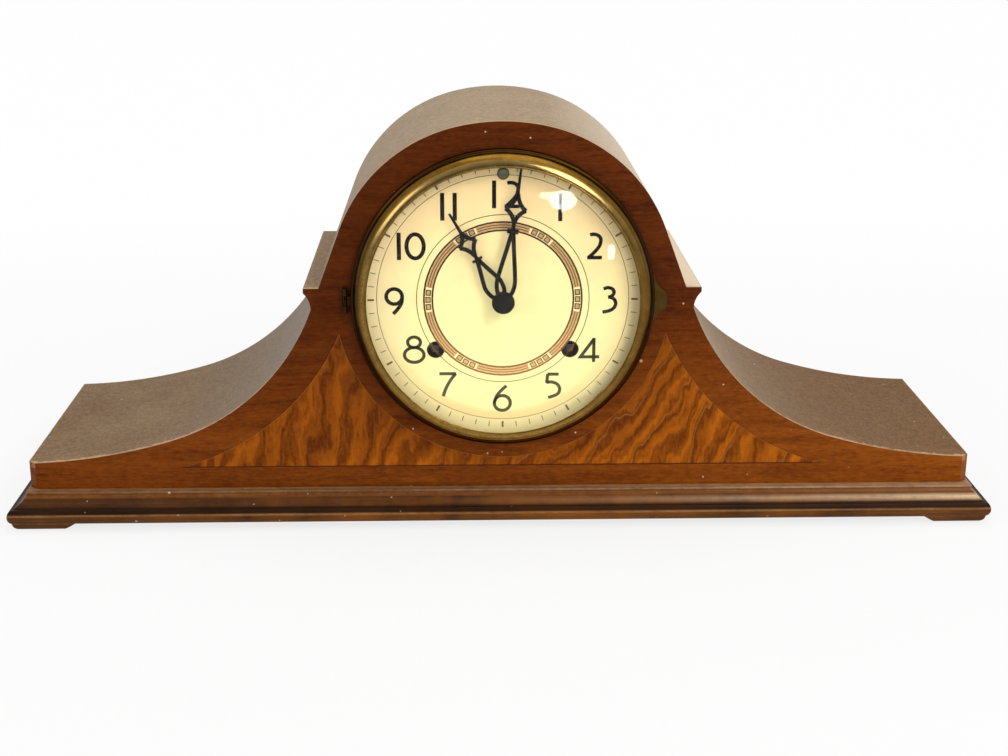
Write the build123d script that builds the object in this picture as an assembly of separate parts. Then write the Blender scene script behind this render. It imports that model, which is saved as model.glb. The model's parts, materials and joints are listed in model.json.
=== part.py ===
from build123d import *
import os
from math import acos, atan2, cos, degrees, hypot, pi, radians, sin, sqrt

os.makedirs("parts", exist_ok=True)

# A humpback mantel clock. Millimetres, +Z up, the dial faces -Y.
# The origin is the middle of the base's footprint, on the surface that the feet stand on.

# Case and base
case_width = 515.0
case_height = 199.7
case_depth = 140.0
base_height = 20.0
front_overhang = 14.0
side_overhang = 10.0
back_overhang = 6.0
sheet_thickness = 3.0
front_thickness = 12.0
back_thickness = 12.0
end_thickness = 8.0
corner_chamfer = 4.0
case_outline_shares = (
    (0.0, 1.0), (0.0959, 0.9855), (0.3317, 0.7176), (0.3946, 0.5018), (0.7014, 0.1342), (1.0, 0.0746)
)
cut_overrun = 5.0
slim_sides = 8
turn_steps = 20

# Base mouldings and feet
foot_height = 4.5
foot_length = 29.0
foot_round = 5.0
foot_inner_slope = 7.0
moulding_width = 30.0
ledge_setback = 9.0
ledge_drop = 2.0
cove_foot = 3.0
cove_height = 5.6
band_lip = 1.5
band_undercut = 2.0
cove_hollow_share = 0.33

# Shoulder strips on the roof
shoulder_shares = (0.2047, 0.5598)
shoulder_edge = 2.5
shoulder_cove_sag = 1.6

# Figured panel let into the front
panel_thickness = 0.8
panel_gap = 0.05
panel_ring_margin = 8.8
panel_bottom_share = 0.0586
panel_tip_share = 0.3417
panel_apex_share = 0.4357
panel_waist_shares = (0.233, 0.2068)

# Dial, bezel and glass
dial_centre_share = 0.5303
bezel_shares = (0.4016, 0.1558)
dial_margin = 4.6
dial_thickness = 1.2
dial_lap = 13.6
bezel_rim = 4.2
bezel_wall = 1.2
bezel_height = 11.2
bezel_seat_gap = 0.3
bead_shoulder = 4.0
bead_height = 8.1
bead_width = 2.8
lip_thickness = 1.4
lip_width = 8.2
glass_sag = 3.6
glass_thickness = 1.5
glass_rim_depth = 9.0
glass_gap = 0.3
glass_border = 23.7
glass_sides = 48
clip_count = 4
clip_angle = 45.0
clip_thickness = 1.0
clip_lap = 3.3
clip_width = 6.0
tab_reach = 5.7
tab_bulge = 0.7
tab_root_heights = (15.0, -12.0)
tab_hollow_reach = 2.2
tab_hollow_heights = (7.6, -7.6)
tab_end_heights = (4.3, -4.6)
tab_thickness = 1.2

# Bezel hinge, on the left
hinge_barrel_radius = 1.3
hinge_pin_radius = 0.6
hinge_offset = 3.0
hinge_lift = 2.6
hinge_knuckle = 3.9
hinge_middle = 5.0
hinge_leaf_depth = 8.0
hinge_leaf_thickness = 1.0
strap_thickness = 1.2

# Hands
hand_thickness = 0.6
hand_wire = 1.3
hour_hand_lift = 3.4
minute_hand_lift = 5.8
hand_gap = 0.05
nut_radius = 6.0
nut_height = 2.2
minute_hand_share = 0.939
hour_hand_share = 0.741
hour_hand_angle = 329.1
minute_hand_angle = 7.3
hand_bar_half = 2.6
minute_loop_half = 5.2
minute_corner_half = 5.8
hour_loop_half = 4.9
hour_corner_half = 5.0
minute_hand_shares = (0.185, 0.558, 0.635, 0.74, 0.845)
hour_hand_shares = (0.21, 0.485, 0.527, 0.668, 0.786)
loop_low_shares = (0.92, 0.62)
hollow_shares = (0.4, 0.35)
spike_tip_share = 0.5

# Back board and its door
opening_half_width = 62.0
opening_bottom = 25.0
door_gap = 0.6
door_thickness = 8.0
door_hinge_length = 24.0
door_hinge_spacing = 70.0
door_knuckle_radius = 1.5
door_leaf_width = 11.0
door_leaf_thickness = 0.8
door_pin_radius = 0.7
frame_knuckle_share = (0.0, 0.49)
door_knuckle_share = (0.51, 1.0)
button_length = 22.0
button_width = 7.0
button_thickness = 1.6
button_offset = 7.0
button_tip_share = 0.5
button_screw_radius = 2.2

# Movement frame
plate_gap = 30.0
plate_thickness = 2.0
plate_standoff = 8.0
plate_bottom_half = 68.0
plate_top_half = 52.0
plate_below = 52.0
plate_above = 56.0
plate_corner = 6.0
ear_half_width = 8.0
ear_above = 74.0
pillar_radius = 3.0
low_pillar_x = 62.0
low_pillar_z = -46.0
high_pillar_x = 46.0
high_pillar_z = 49.0
pillar_nut_radius = 4.0
pillar_nut_height = 3.0
screw_head_height = 1.2

# Running fits
pivot_gap = 0.05
running_gap = 0.3
arbor_radius = 1.0
fine_arbor_radius = 0.6
pivot_end = 1.5

# Winding arbors, mainsprings and great wheels
winding_x = 35.8
winding_drop = 27.6
winding_hole_radius = 4.75
winding_square = 3.6
winding_arbor_radius = 2.6
winding_end_depth = 1.6
great_teeth = 48
great_pinion_leaves = 8
great_mesh = 28.8
great_wheel_depth = 2.5
great_wheel_thickness = 1.6
ratchet_teeth = 12
ratchet_radius = 9.0
ratchet_tooth = 1.8
ratchet_thickness = 1.5
click_pivot_radius = 13.5
click_angle = -5.0
click_width = 2.6
click_tip_half = 0.175
click_nose_lift = 0.7
spring_depth = 8.5
spring_width = 13.0
spring_inner_radius = 4.2
spring_pitch = 3.6
spring_turns = 3.0
spring_strip = 0.8

# Going train
second_teeth = 48
second_leaves = 8
second_mesh = 21.6
centre_teeth = 72
third_leaves = 6
centre_mesh = 19.8
third_teeth = 72
escape_leaves = 6
third_mesh = 15.6
escape_teeth = 36
escape_radius = 12.6
escape_tooth_height = 2.6
tooth_lean_share = 0.75
escape_height = 26.0
verge_height = 43.5
wheel_thickness = 1.0
pinion_length = 3.0
second_wheel_depth = 26.0
centre_wheel_depth = 11.5
third_wheel_depth = 16.0
escape_wheel_depth = 21.5
pallet_gap = 0.45
pallet_span_angle = 52.0
anchor_width = 3.2
anchor_thickness = 1.6
elbow_rise = 4.8
elbow_share = 0.85
verge_swing = 5.0

# Wheel teeth, in modules
tip_share = 0.7
root_share = 1.2

# Motion work behind the dial
motion_mesh = 12.0
cannon_leaves = 8
minute_wheel_teeth = 24
minute_pinion_leaves = 8
hour_wheel_teeth = 32
cannon_tube_radius = 1.9
hour_tube_radius = 3.0
minute_wheel_angle = 225.0
motion_wheel_thickness = 1.0
cannon_wheel_clearance = 1.2
hour_wheel_stand_off = 6.0
hour_collet_radius = 4.2
dial_centre_hole_radius = 4.0

# Regulator, suspension and pendulum
regulator_height_share = 0.8863
regulator_hole_radius = 3.2
regulator_head_radius = 2.6
regulator_head_length = 1.6
cock_half_width = 4.0
cock_foot_bottom = 52.0
cock_foot_top = 73.0
cock_foot_thickness = 2.0
cock_arm_thickness = 2.5
cock_arm_rise = 8.0
jaw_depth = 4.0
jaw_bottom = 44.2
jaw_slot = 1.1
jaw_slot_depth = 4.5
pendulum_stand_off = 8.0
spring_leaf_width = 3.0
spring_leaf_thickness = 0.2
spring_leaf_up = 3.0
spring_leaf_down = 8.0
rod_radius = 0.9
rod_block = 4.0
rod_block_half_width = 1.2
bob_height = 29.6
bob_radius = 18.0
bob_thickness = 8.0
rod_tail = 25.0
rating_nut_radius = 4.5
rating_nut_height = 2.5
crutch_drop = 42.0
crutch_width = 3.0
crutch_hub_radius = 2.4
crutch_thickness = 1.2
crutch_stand_off = 3.0
fork_gap = 0.55
fork_thickness = 1.2
fork_reach = 1.8
fork_height = 2.0

# Striking train, hammer and gong
pin_wheel_angle = 80.0
pin_wheel_teeth = 48
pin_wheel_leaves = 8
pin_mesh = 18.7
warning_leaves = 6
warning_angle = 110.0
warning_teeth = 48
warning_mesh = 13.5
fly_leaves = 6
fly_angle = 60.0
warning_wheel_depth = 8.5
fly_half_width = 8.0
fly_length = 12.0
fly_thickness = 0.5
fly_depth = 13.0
star_points = 8
star_radius = 12.6
star_notch = 2.6
star_thickness = 1.8
hammer_x = 52.0
hammer_z = 8.0
hammer_tail_gap = 0.4
hammer_tail_width = 2.4
hammer_tail_thickness = 1.4
hammer_rod_radius = 1.0
hammer_head_radius = 5.0
hammer_head_length = 11.0
hammer_rest_gap = 1.5
gong_centre_height = 70.0
gong_inner_radius = 9.0
gong_pitch = 13.0
gong_turns = 3.0
gong_wire = 2.4
gong_stand_off = 30.0
gong_block_half = 9.0
gong_block_thickness = 4.8
gong_post_half_width = 6.0
gong_post_thickness = 6.0
gong_foot_length = 34.0
gong_foot_share = 0.7212
gong_foot_height = 5.0

# Places worked out from the sizes above
dial_centre_height = case_height * dial_centre_share
bezel_radius = min(case_height * bezel_shares[0], case_width * bezel_shares[1])
sight_radius = bezel_radius - lip_width
glass_radius = bezel_radius - bezel_rim - glass_gap
glass_crown_radius = glass_radius - glass_border
dial_radius = bezel_radius - dial_margin
front_hole_radius = dial_radius - dial_lap
minute_hand_length = dial_radius * minute_hand_share
hour_hand_length = dial_radius * hour_hand_share
regulator_height = dial_radius * regulator_height_share
panel_ring_radius = bezel_radius + panel_ring_margin
base_depth = front_overhang + case_depth + back_overhang
base_half_width = case_width / 2 + side_overhang
front_y = front_overhang - base_depth / 2
hinge_x = -(bezel_radius + hinge_offset)
hinge_y = front_y - hinge_lift
back_y = front_y + case_depth
board_back_y = front_y + front_thickness
back_board_y = back_y - back_thickness
dial_z = base_height + dial_centre_height
dial_face_y = front_y - dial_thickness
plate_front_y = board_back_y + plate_standoff
gap_front_y = plate_front_y + plate_thickness
gap_back_y = gap_front_y + plate_gap
plate_back_y = gap_back_y + plate_thickness
cannon_back_y = plate_front_y - cannon_wheel_clearance
hour_wheel_y = plate_front_y - hour_wheel_stand_off
pendulum_y = plate_back_y + pendulum_stand_off
gong_y = plate_back_y + gong_stand_off


def box_between(x_pair, y_pair, z_pair):
    """A block between two x, two y and two z places."""
    size = [pair[1] - pair[0] for pair in (x_pair, y_pair, z_pair)]
    middle = [(pair[0] + pair[1]) / 2 for pair in (x_pair, y_pair, z_pair)]
    return Pos(*middle) * Box(*size)


def plate_between(face, y_from, y_to):
    """A face drawn as seen from the front, made solid between two depths."""
    return extrude(Plane.XZ.offset(-y_to) * face, amount=y_to - y_from)


def rod_between(x, z, y_from, y_to, radius):
    """A round bar along Y."""
    return Pos(x, (y_from + y_to) / 2, z) * (Rot(90, 0, 0) * Cylinder(radius, y_to - y_from))


def upright(x, y, z_from, z_to, radius):
    """A round bar along Z."""
    return Pos(x, y, (z_from + z_to) / 2) * Cylinder(radius, z_to - z_from)


def slim_bar(place, y_from, y_to, radius):
    """A slim arbor, pin or post along Y, with eight flats to keep its facets few."""
    return plate_between(Pos(*place) * RegularPolygon(radius, slim_sides), y_from, y_to)


def slim_bore(place, y_from, y_to, radius):
    """The hole that a slim bar of that radius turns in, cut past both faces."""
    clear = (radius + pivot_gap) / cos(pi / slim_sides)
    return slim_bar(place, y_from - cut_overrun, y_to + cut_overrun, clear)


def slim_upright(x, y, z_from, z_to, radius):
    """A slim pin along Z."""
    return Pos(x, y, z_from) * extrude(RegularPolygon(radius, slim_sides), z_to - z_from)


def turned(points):
    """A body turned about Y from points given as radius and depth, centred on the dial's height."""
    face = make_face(Polyline(*points, close=True))
    return Pos(0, 0, dial_z) * revolve(face, axis=Axis.Y)


def polar(radius, angle):
    """A point at an angle in degrees, anticlockwise as seen from the front."""
    return radius * cos(radians(angle)), radius * sin(radians(angle))


def write(shape, node):
    """One sub-part to its own file."""
    if isinstance(shape, (list, ShapeList)):
        shape = Compound(children=[solid for part in shape for solid in part.solids()])
    export_step(shape, f"parts/{node}.step")


# The case outline is one chain of tangent arcs: crown, brow, straight side, hollow sweep and tail.

def tangent_chain(points):
    """The right half of the outline through its joints."""
    crown = TangentArc(points[0], points[1], tangent=(1, 0))
    brow = TangentArc(points[1], points[2], tangent=crown % 1)
    side = Line(points[2], points[3])
    sweep = TangentArc(points[3], points[4], tangent=side % 1)
    tail = TangentArc(points[4], points[5], tangent=sweep % 1)
    return [crown, brow, side, sweep, tail]


def case_path(inset):
    """The right half of the outline, moved in by an inset."""
    outer = tangent_chain([(x * case_width / 2, z * case_height) for x, z in case_outline_shares])
    if inset == 0:
        return outer
    joints = [(edge @ 0, edge % 0) for edge in outer] + [(outer[-1] @ 1, outer[-1] % 1)]
    return tangent_chain([(p.X + t.Y * inset, p.Y - t.X * inset) for p, t in joints])


def mirrored(edges):
    return [mirror(edge, about=Plane.YZ) for edge in edges]


def sheet_face(outer, inner):
    """A strip between two chains that run side by side."""
    ends = [Line(outer[0] @ 0, inner[0] @ 0), Line(outer[-1] @ 1, inner[-1] @ 1)]
    return make_face(outer + inner + ends)


def raised(shape):
    """From the outline's own height to the top of the base."""
    return Pos(0, 0, base_height) * shape


def corner_cut(side):
    """The bevel on a front corner of the case."""
    x_end = side * case_width / 2
    face = make_face(Polyline(
        (x_end, front_y), (x_end - side * corner_chamfer, front_y), (x_end, front_y + corner_chamfer),
        close=True,
    ))
    return extrude(face, amount=case_height)


def case_board(y_from, y_to):
    """A board that fits inside the roof and between the ends."""
    path = case_path(sheet_thickness)
    half = path + [Line(path[-1] @ 1, (path[-1] @ 1).X * Vector(1, 0))]
    floor = Line(((path[-1] @ 1).X, 0), (-(path[-1] @ 1).X, 0))
    board = plate_between(make_face(half + mirrored(half) + [floor]), y_from, y_to)
    reach = case_width / 2 - end_thickness
    return raised(board & box_between((-reach, reach), (y_from, y_to), (0, case_height)))


def panel_face(gap):
    """The bridge-shaped field round the dial, with hollow sides and two peaks."""
    apex_z, bottom = case_height * panel_apex_share, case_height * panel_bottom_share
    apex_x = sqrt(panel_ring_radius ** 2 - (dial_centre_height - apex_z) ** 2)
    low = dial_centre_height - panel_ring_radius
    tip = (case_width * panel_tip_share, bottom)
    waist = (case_width * panel_waist_shares[0], case_height * panel_waist_shares[1])
    ring = ThreePointArc((-apex_x, apex_z), (0, low), (apex_x, apex_z))
    right = ThreePointArc((apex_x, apex_z), waist, tip)
    floor = Line((-tip[0], bottom), tip)
    face = make_face([ring, right, floor] + mirrored([right]))
    return offset(face, amount=-gap, kind=Kind.INTERSECTION) if gap else face


def hinge_plate(y_from):
    """The flat of the bezel's hinge, from a depth to the end of its slot in the front board."""
    leaf_x = (hinge_x - hinge_barrel_radius, hinge_x - hinge_barrel_radius + hinge_leaf_thickness)
    end = hinge_middle / 2 + running_gap + hinge_knuckle
    return box_between(leaf_x, (y_from, front_y + hinge_leaf_depth), (dial_z - end, dial_z + end))


def front_board():
    board = case_board(front_y, board_back_y)
    reach = (front_y - cut_overrun, board_back_y + cut_overrun)
    board -= rod_between(0, dial_z, *reach, front_hole_radius)
    board -= slim_bore((0, dial_z + regulator_height), front_y, board_back_y, arbor_radius + running_gap)
    board -= hinge_plate(front_y)
    return board - raised(plate_between(panel_face(0), front_y, front_y + panel_thickness))


def inlay_panel():
    return raised(plate_between(panel_face(panel_gap), front_y, front_y + panel_thickness))


def roof():
    outer = case_path(0)[:3]
    inner = case_path(sheet_thickness)[:3]
    ends = [Line(outer[-1] @ 1, inner[-1] @ 1)]
    face = make_face(outer + inner + ends + mirrored(outer + inner + ends))
    return raised(plate_between(face, front_y, back_y))


def wing(side):
    face = sheet_face(case_path(0)[3:], case_path(sheet_thickness)[3:])
    sheet = raised(plate_between(face, front_y, back_y)) - corner_cut(1)
    return sheet if side > 0 else mirror(sheet, about=Plane.YZ)


def end_block(side):
    top = (case_path(sheet_thickness)[-1] @ 1).Y
    block = box_between((case_width / 2 - end_thickness, case_width / 2), (front_y, back_y), (0, top))
    block = raised(block) - corner_cut(1)
    return block if side > 0 else mirror(block, about=Plane.YZ)


def shoulder(side):
    """A ledge with a hollow under it, planted on the straight side of the roof."""
    shoulder_reach, shoulder_top = shoulder_shares[0] * case_width, shoulder_shares[1] * case_height
    straight = case_path(0)[2]
    top, foot = straight @ 0, straight @ 1
    share = (top.Y - shoulder_top) / (top.Y - foot.Y)
    root_x = top.X + (foot.X - top.X) * share
    tip_low = (shoulder_reach, shoulder_top - shoulder_edge)
    middle = ((tip_low[0] + foot.X - shoulder_cove_sag) / 2, (tip_low[1] + foot.Y + shoulder_cove_sag) / 2)
    lines = [
        Line((root_x, shoulder_top), (shoulder_reach, shoulder_top)),
        Line((shoulder_reach, shoulder_top), tip_low),
        ThreePointArc(tip_low, middle, (foot.X, foot.Y)),
        Line((foot.X, foot.Y), (root_x, shoulder_top)),
    ]
    strip = raised(plate_between(make_face(lines), front_y, back_y))
    return strip if side > 0 else mirror(strip, about=Plane.YZ)


# The base: a plain board with a run moulding mitred round its front and ends, on four pads.

def moulding_face():
    """The moulding's section: how far it stands in from its nose, and its height."""
    band_top = base_height - ledge_drop - cove_height
    nose_middle = (band_top + foot_height) / 2
    cove_in = ledge_setback - ledge_drop / 2
    lines = [
        Line((moulding_width, foot_height), (moulding_width, base_height)),
        Line((moulding_width, base_height), (ledge_setback, base_height)),
        Line((ledge_setback, base_height), (ledge_setback, base_height - ledge_drop)),
        ThreePointArc(
            (ledge_setback, base_height - ledge_drop),
            ((cove_in + cove_foot) / 2, band_top + cove_height * cove_hollow_share),
            (cove_foot, band_top),
        ),
        Line((cove_foot, band_top), (band_lip, band_top)),
        ThreePointArc((band_lip, band_top), (0, nose_middle), (band_undercut, foot_height)),
        Line((band_undercut, foot_height), (moulding_width, foot_height)),
    ]
    return make_face(lines)


def mitre(side):
    """Everything in front of the slanted joint at a front corner."""
    x, y = side * base_half_width, -base_depth / 2
    reach = base_depth
    face = make_face(Polyline(
        (x + side * reach, y - reach), (x - side * reach, y + reach), (0, y + reach), (0, y - reach),
        close=True,
    ))
    return extrude(face, amount=base_height)


def front_moulding():
    section = Plane(origin=(0, -base_depth / 2, 0), x_dir=(0, 1, 0), z_dir=(1, 0, 0)) * moulding_face()
    run = extrude(section, amount=base_half_width, both=True)
    return run & (mitre(1) + mitre(-1))


def side_moulding(side):
    end = Plane(origin=(base_half_width, -base_depth / 2, 0), x_dir=(-1, 0, 0), z_dir=(0, 1, 0))
    section = end * moulding_face()
    run = extrude(section, amount=base_depth) - mitre(1)
    return run if side > 0 else mirror(run, about=Plane.YZ)


def base_board():
    reach = base_half_width - moulding_width
    y_from = moulding_width - base_depth / 2
    return box_between((-reach, reach), (y_from, base_depth / 2), (foot_height, base_height))


def foot_side():
    """A foot seen square on: round outer corner below the band, sloped inner end."""
    outer = band_undercut
    inner = foot_length
    return make_face([
        Line((outer, foot_height), (inner + foot_inner_slope, foot_height)),
        Line((inner + foot_inner_slope, foot_height), (inner, 0)),
        Line((inner, 0), (outer + foot_round, 0)),
        ThreePointArc(
            (outer + foot_round, 0),
            (outer + foot_round * (1 - cos(pi / 4)), foot_height * (1 - sin(pi / 4))),
            (outer, foot_height),
        ),
    ])


def feet():
    """Four pads, one under each corner."""
    reach = foot_length + foot_inner_slope
    along_x = Plane(origin=(-base_half_width, reach, 0), x_dir=(1, 0, 0), z_dir=(0, -1, 0)) * foot_side()
    along_y = Plane(origin=(reach - base_half_width, 0, 0), x_dir=(0, 1, 0), z_dir=(1, 0, 0)) * foot_side()
    foot = extrude(along_x, amount=reach) & extrude(along_y, amount=-reach)
    foot = Pos(0, -base_depth / 2, 0) * foot
    pair = [foot, mirror(foot, about=Plane.YZ)]
    return pair + [mirror(one, about=Plane.XZ) for one in pair]


# The back: a board with an arched opening, and a door in it on two small hinges.

def arch_face(gap):
    half = opening_half_width - gap
    low = base_height + opening_bottom + gap
    return make_face([
        Line((-half, low), (half, low)),
        Line((half, low), (half, dial_z)),
        ThreePointArc((half, dial_z), (0, dial_z + half), (-half, dial_z)),
        Line((-half, dial_z), (-half, low)),
    ])


def back_board():
    board = case_board(back_board_y, back_y)
    return board - plate_between(arch_face(0), back_board_y - cut_overrun, back_y + cut_overrun)


def back_door():
    return plate_between(arch_face(door_gap), back_y - door_thickness, back_y)


door_axis_x = opening_half_width - door_gap / 2
door_axis_y = back_y + door_knuckle_radius
door_hinge_heights = (
    dial_z - door_hinge_spacing + door_hinge_length / 2, dial_z - door_hinge_length / 2
)


def door_leaf(z, knuckle, outward):
    """One leaf of a hinge with its knuckle, which is a pair of shares of the hinge's length."""
    low = z - door_hinge_length / 2
    start, end = [low + share * door_hinge_length for share in knuckle]
    edge = door_axis_x + outward * door_knuckle_radius
    far = door_axis_x + outward * door_leaf_width
    leaf_y = (back_y, back_y + door_leaf_thickness)
    leaf = box_between(sorted((edge, far)), leaf_y, (low, low + door_hinge_length))
    arm = box_between(sorted((door_axis_x, edge)), leaf_y, (start, end))
    return leaf + arm + upright(door_axis_x, door_axis_y, start, end, door_knuckle_radius)


def frame_hinge_leaves():
    """The leaves on the board, each with its knuckle below and the pin standing in it."""
    leaves = []
    for z in door_hinge_heights:
        low, high = z - door_hinge_length / 2, z + door_hinge_length / 2
        pin = slim_upright(door_axis_x, door_axis_y, low, high, door_pin_radius)
        leaves.append(door_leaf(z, frame_knuckle_share, 1) + pin)
    return leaves


def door_hinge_leaves():
    """The leaves on the door, whose knuckles turn on the pins."""
    clear = (door_pin_radius + pivot_gap) / cos(pi / slim_sides)
    leaves = []
    for z in door_hinge_heights:
        low, high = z - door_hinge_length, z + door_hinge_length
        bore = slim_upright(door_axis_x, door_axis_y, low, high, clear)
        leaves.append(door_leaf(z, door_knuckle_share, -1) - bore)
    return leaves


button_x = -(opening_half_width + button_offset)


def turn_button():
    """A brass catch beside the door, turned upright so that the door is free."""
    half, end = button_width / 2, button_length / 2
    outline = [(half, 0), (half * button_tip_share, end), (-half * button_tip_share, end)]
    outline += [(-x, -z) for x, z in outline]
    foot_y = back_y + running_gap
    head_y = foot_y + button_thickness
    bar = Pos(button_x, 0, dial_z) * plate_between(make_face(Polyline(*outline, close=True)), foot_y, head_y)
    return bar + rod_between(button_x, dial_z, head_y, head_y + screw_head_height, button_screw_radius)


# Dial, bezel and glass, in front of the board.

def dial_plate():
    plate = rod_between(0, dial_z, dial_face_y, front_y, dial_radius)
    holes = [(0, regulator_height, regulator_hole_radius)]
    holes += [(side * winding_x, -winding_drop, winding_hole_radius) for side in (-1, 1)]
    for x, z, radius in holes:
        plate -= rod_between(x, dial_z + z, dial_face_y - cut_overrun, front_y + cut_overrun, radius)
    return plate - slim_bore((0, dial_z), dial_face_y, front_y, dial_centre_hole_radius)


bezel_back_y = front_y - bezel_seat_gap
bezel_front_y = front_y - bezel_height


def bezel_section():
    """The ring's section as radius and depth: wall, bead, sloped face and the lip over the glass."""
    wall = glass_radius + glass_gap
    lip_y = bezel_front_y + lip_thickness
    return [
        (bezel_radius, bezel_back_y), (bezel_radius, front_y - bead_shoulder),
        (bezel_radius - bead_width, front_y - bead_height), (sight_radius, bezel_front_y),
        (sight_radius, lip_y), (wall, lip_y), (wall, bezel_back_y),
    ]


def bezel_ring():
    """The spun ring with the hinge's middle knuckle and strap soldered to it."""
    ring = turned(bezel_section())
    span = (dial_z - hinge_middle / 2, dial_z + hinge_middle / 2)
    strap_y = (hinge_y - strap_thickness / 2, hinge_y + strap_thickness / 2)
    strap = box_between((hinge_x, bezel_wall / 2 - bezel_radius), strap_y, span)
    knuckle = strap + upright(hinge_x, hinge_y, *span, hinge_barrel_radius)
    clear = (hinge_pin_radius + pivot_gap) / cos(pi / slim_sides)
    bore = slim_upright(hinge_x, hinge_y, span[0] - cut_overrun, span[1] + cut_overrun, clear)
    return ring + (knuckle - bore)


def bezel_hinge_leaf():
    """The leaf let into the front board, with two knuckles and the pin."""
    leaf_x = (hinge_x - hinge_barrel_radius, hinge_x - hinge_barrel_radius + hinge_leaf_thickness)
    start = hinge_middle / 2 + running_gap
    end = start + hinge_knuckle
    leaf = hinge_plate(hinge_y + hinge_barrel_radius + running_gap)
    leaf += slim_upright(hinge_x, hinge_y, dial_z - end, dial_z + end, hinge_pin_radius)
    for span in ((dial_z - end, dial_z - start), (dial_z + start, dial_z + end)):
        arm = box_between(leaf_x, (hinge_y, front_y), span)
        leaf += arm + upright(hinge_x, hinge_y, *span, hinge_barrel_radius)
    return leaf


def bezel_tab():
    """A rounded finger grip with hollow flanks on the right of the bezel."""
    roots = [(sqrt(bezel_radius ** 2 - z ** 2), z) for z in tab_root_heights]
    ends = [(bezel_radius + tab_reach, z) for z in tab_end_heights]
    hollows = [(bezel_radius + tab_hollow_reach, z) for z in tab_hollow_heights]
    edges = [ThreePointArc(root, hollow, end) for root, hollow, end in zip(roots, hollows, ends)]
    edges.append(ThreePointArc(ends[0], (bezel_radius + tab_reach + tab_bulge, 0), ends[1]))
    edges.append(ThreePointArc(roots[0], (bezel_radius, 0), roots[1]))
    tab_y = front_y - bead_shoulder
    return Pos(0, 0, dial_z) * plate_between(make_face(edges), tab_y, tab_y + tab_thickness)


glass_rim_y = front_y - glass_rim_depth


def bezel_glass():
    """A glass bent to a shallow crown, with a level middle and a sloped border.

    Its rim has flats to keep its facets few, and they lie hidden behind the bezel's lip.
    """
    crown_y = glass_rim_y - glass_sag
    outer = [(glass_crown_radius, crown_y), (glass_radius, glass_rim_y)]
    section = outer + [(r, y + glass_thickness) for r, y in reversed(outer)]
    spokes = [polar(1, 360 * k / glass_sides) for k in range(glass_sides + 1)]
    faces = [
        make_face(Polyline(
            (a[0] * r, y, a[1] * r), (b[0] * r, y, b[1] * r),
            (b[0] * next_r, next_y, b[1] * next_r), (a[0] * next_r, next_y, a[1] * next_r), close=True,
        ))
        for a, b in zip(spokes, spokes[1:]) for (r, y), (next_r, next_y) in zip(section, section[1:])
    ]
    for r, y in (section[0], section[-1]):
        faces.append(make_face(Polyline(*[(x * r, y, z * r) for x, z in spokes[:-1]], close=True)))
    return Pos(0, 0, dial_z) * Solid(Shell(faces))


def glass_clips():
    """Brass tabs that hold the glass from behind."""
    y_from = glass_rim_y + glass_thickness + glass_gap
    clip = box_between(
        (glass_radius - clip_lap, glass_radius), (y_from, y_from + clip_thickness),
        (-clip_width / 2, clip_width / 2),
    )
    turns = [clip_angle + 360 * k / clip_count for k in range(clip_count)]
    return [Pos(0, 0, dial_z) * (Rot(0, turn, 0) * clip) for turn in turns]


# Hands: two fine wires that leave the hub in a pear, cross at a bar, open into a hollow-sided
# diamond and close into a spike. The shares of the hand's length are for loop, bar, throat,
# corner and top.

def hand_face(length, shares, loop_half, corner_half):
    loop, bar, throat, corner, top = [share * length for share in shares]
    low_wide, low_high = loop_low_shares
    strokes = [Line((-hand_bar_half, bar), (hand_bar_half, bar)), Line((0, bar), (0, throat))]
    for side in (-1, 1):
        pear = [
            (side * hour_collet_radius / 2, hour_collet_radius / 2),
            (side * loop_half * low_wide, loop * low_high), (side * loop_half, loop), (0, bar),
        ]
        lower, upper = [side * corner_half * share for share in hollow_shares]
        diamond = [
            (0, throat), (lower, (throat + corner + hand_wire) / 2), (side * corner_half, corner),
            (upper, (corner + top - hand_wire) / 2), (0, top),
        ]
        strokes += [Polyline(*pear), Polyline(*diamond)]
    face = RegularPolygon(hour_collet_radius, slim_sides)
    for stroke in strokes:
        face += trace(stroke, hand_wire)
    half, tip_half = hand_wire / 2, hand_wire / 2 * spike_tip_share
    spike = Polyline((-half, top), (half, top), (tip_half, length), (-tip_half, length), close=True)
    return face + make_face(spike)


def hour_hand():
    face = hand_face(hour_hand_length, hour_hand_shares, hour_loop_half, hour_corner_half)
    face -= RegularPolygon((hour_tube_radius + hand_gap) / cos(pi / slim_sides), slim_sides)
    y = dial_face_y - hour_hand_lift
    hand = plate_between(face, y - hand_thickness, y)
    return Pos(0, 0, dial_z) * (Rot(0, hour_hand_angle, 0) * hand)


def minute_hand():
    face = hand_face(minute_hand_length, minute_hand_shares, minute_loop_half, minute_corner_half)
    face -= RegularPolygon((cannon_tube_radius + hand_gap) / cos(pi / slim_sides), slim_sides)
    y = dial_face_y - minute_hand_lift
    hand = plate_between(face, y - hand_thickness, y)
    return Pos(0, 0, dial_z) * (Rot(0, minute_hand_angle, 0) * hand)


hand_front_y = dial_face_y - minute_hand_lift - hand_thickness


def hand_nut():
    """A round black nut over the minute hand."""
    return rod_between(0, dial_z, hand_front_y - nut_height, hand_front_y, nut_radius)


# The movement: two plates on four pillars. Places below are measured from the dial's centre.

def depth(distance):
    """A depth between the plates, from the front one."""
    return gap_front_y + distance


def meeting(a, b, from_a, from_b, side):
    """The point at two distances from two places, on one side of the line between them."""
    span = hypot(b[0] - a[0], b[1] - a[1])
    along = (from_a ** 2 - from_b ** 2 + span ** 2) / (2 * span)
    off = side * sqrt(from_a ** 2 - along ** 2)
    ux, uz = (b[0] - a[0]) / span, (b[1] - a[1]) / span
    return a[0] + ux * along - uz * off, a[1] + uz * along + ux * off


def away(a, distance, angle):
    """The point at a distance and angle from a place."""
    x, z = polar(distance, angle)
    return a[0] + x, a[1] + z


def heading(a, b):
    return degrees(atan2(b[1] - a[1], b[0] - a[0]))


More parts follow.
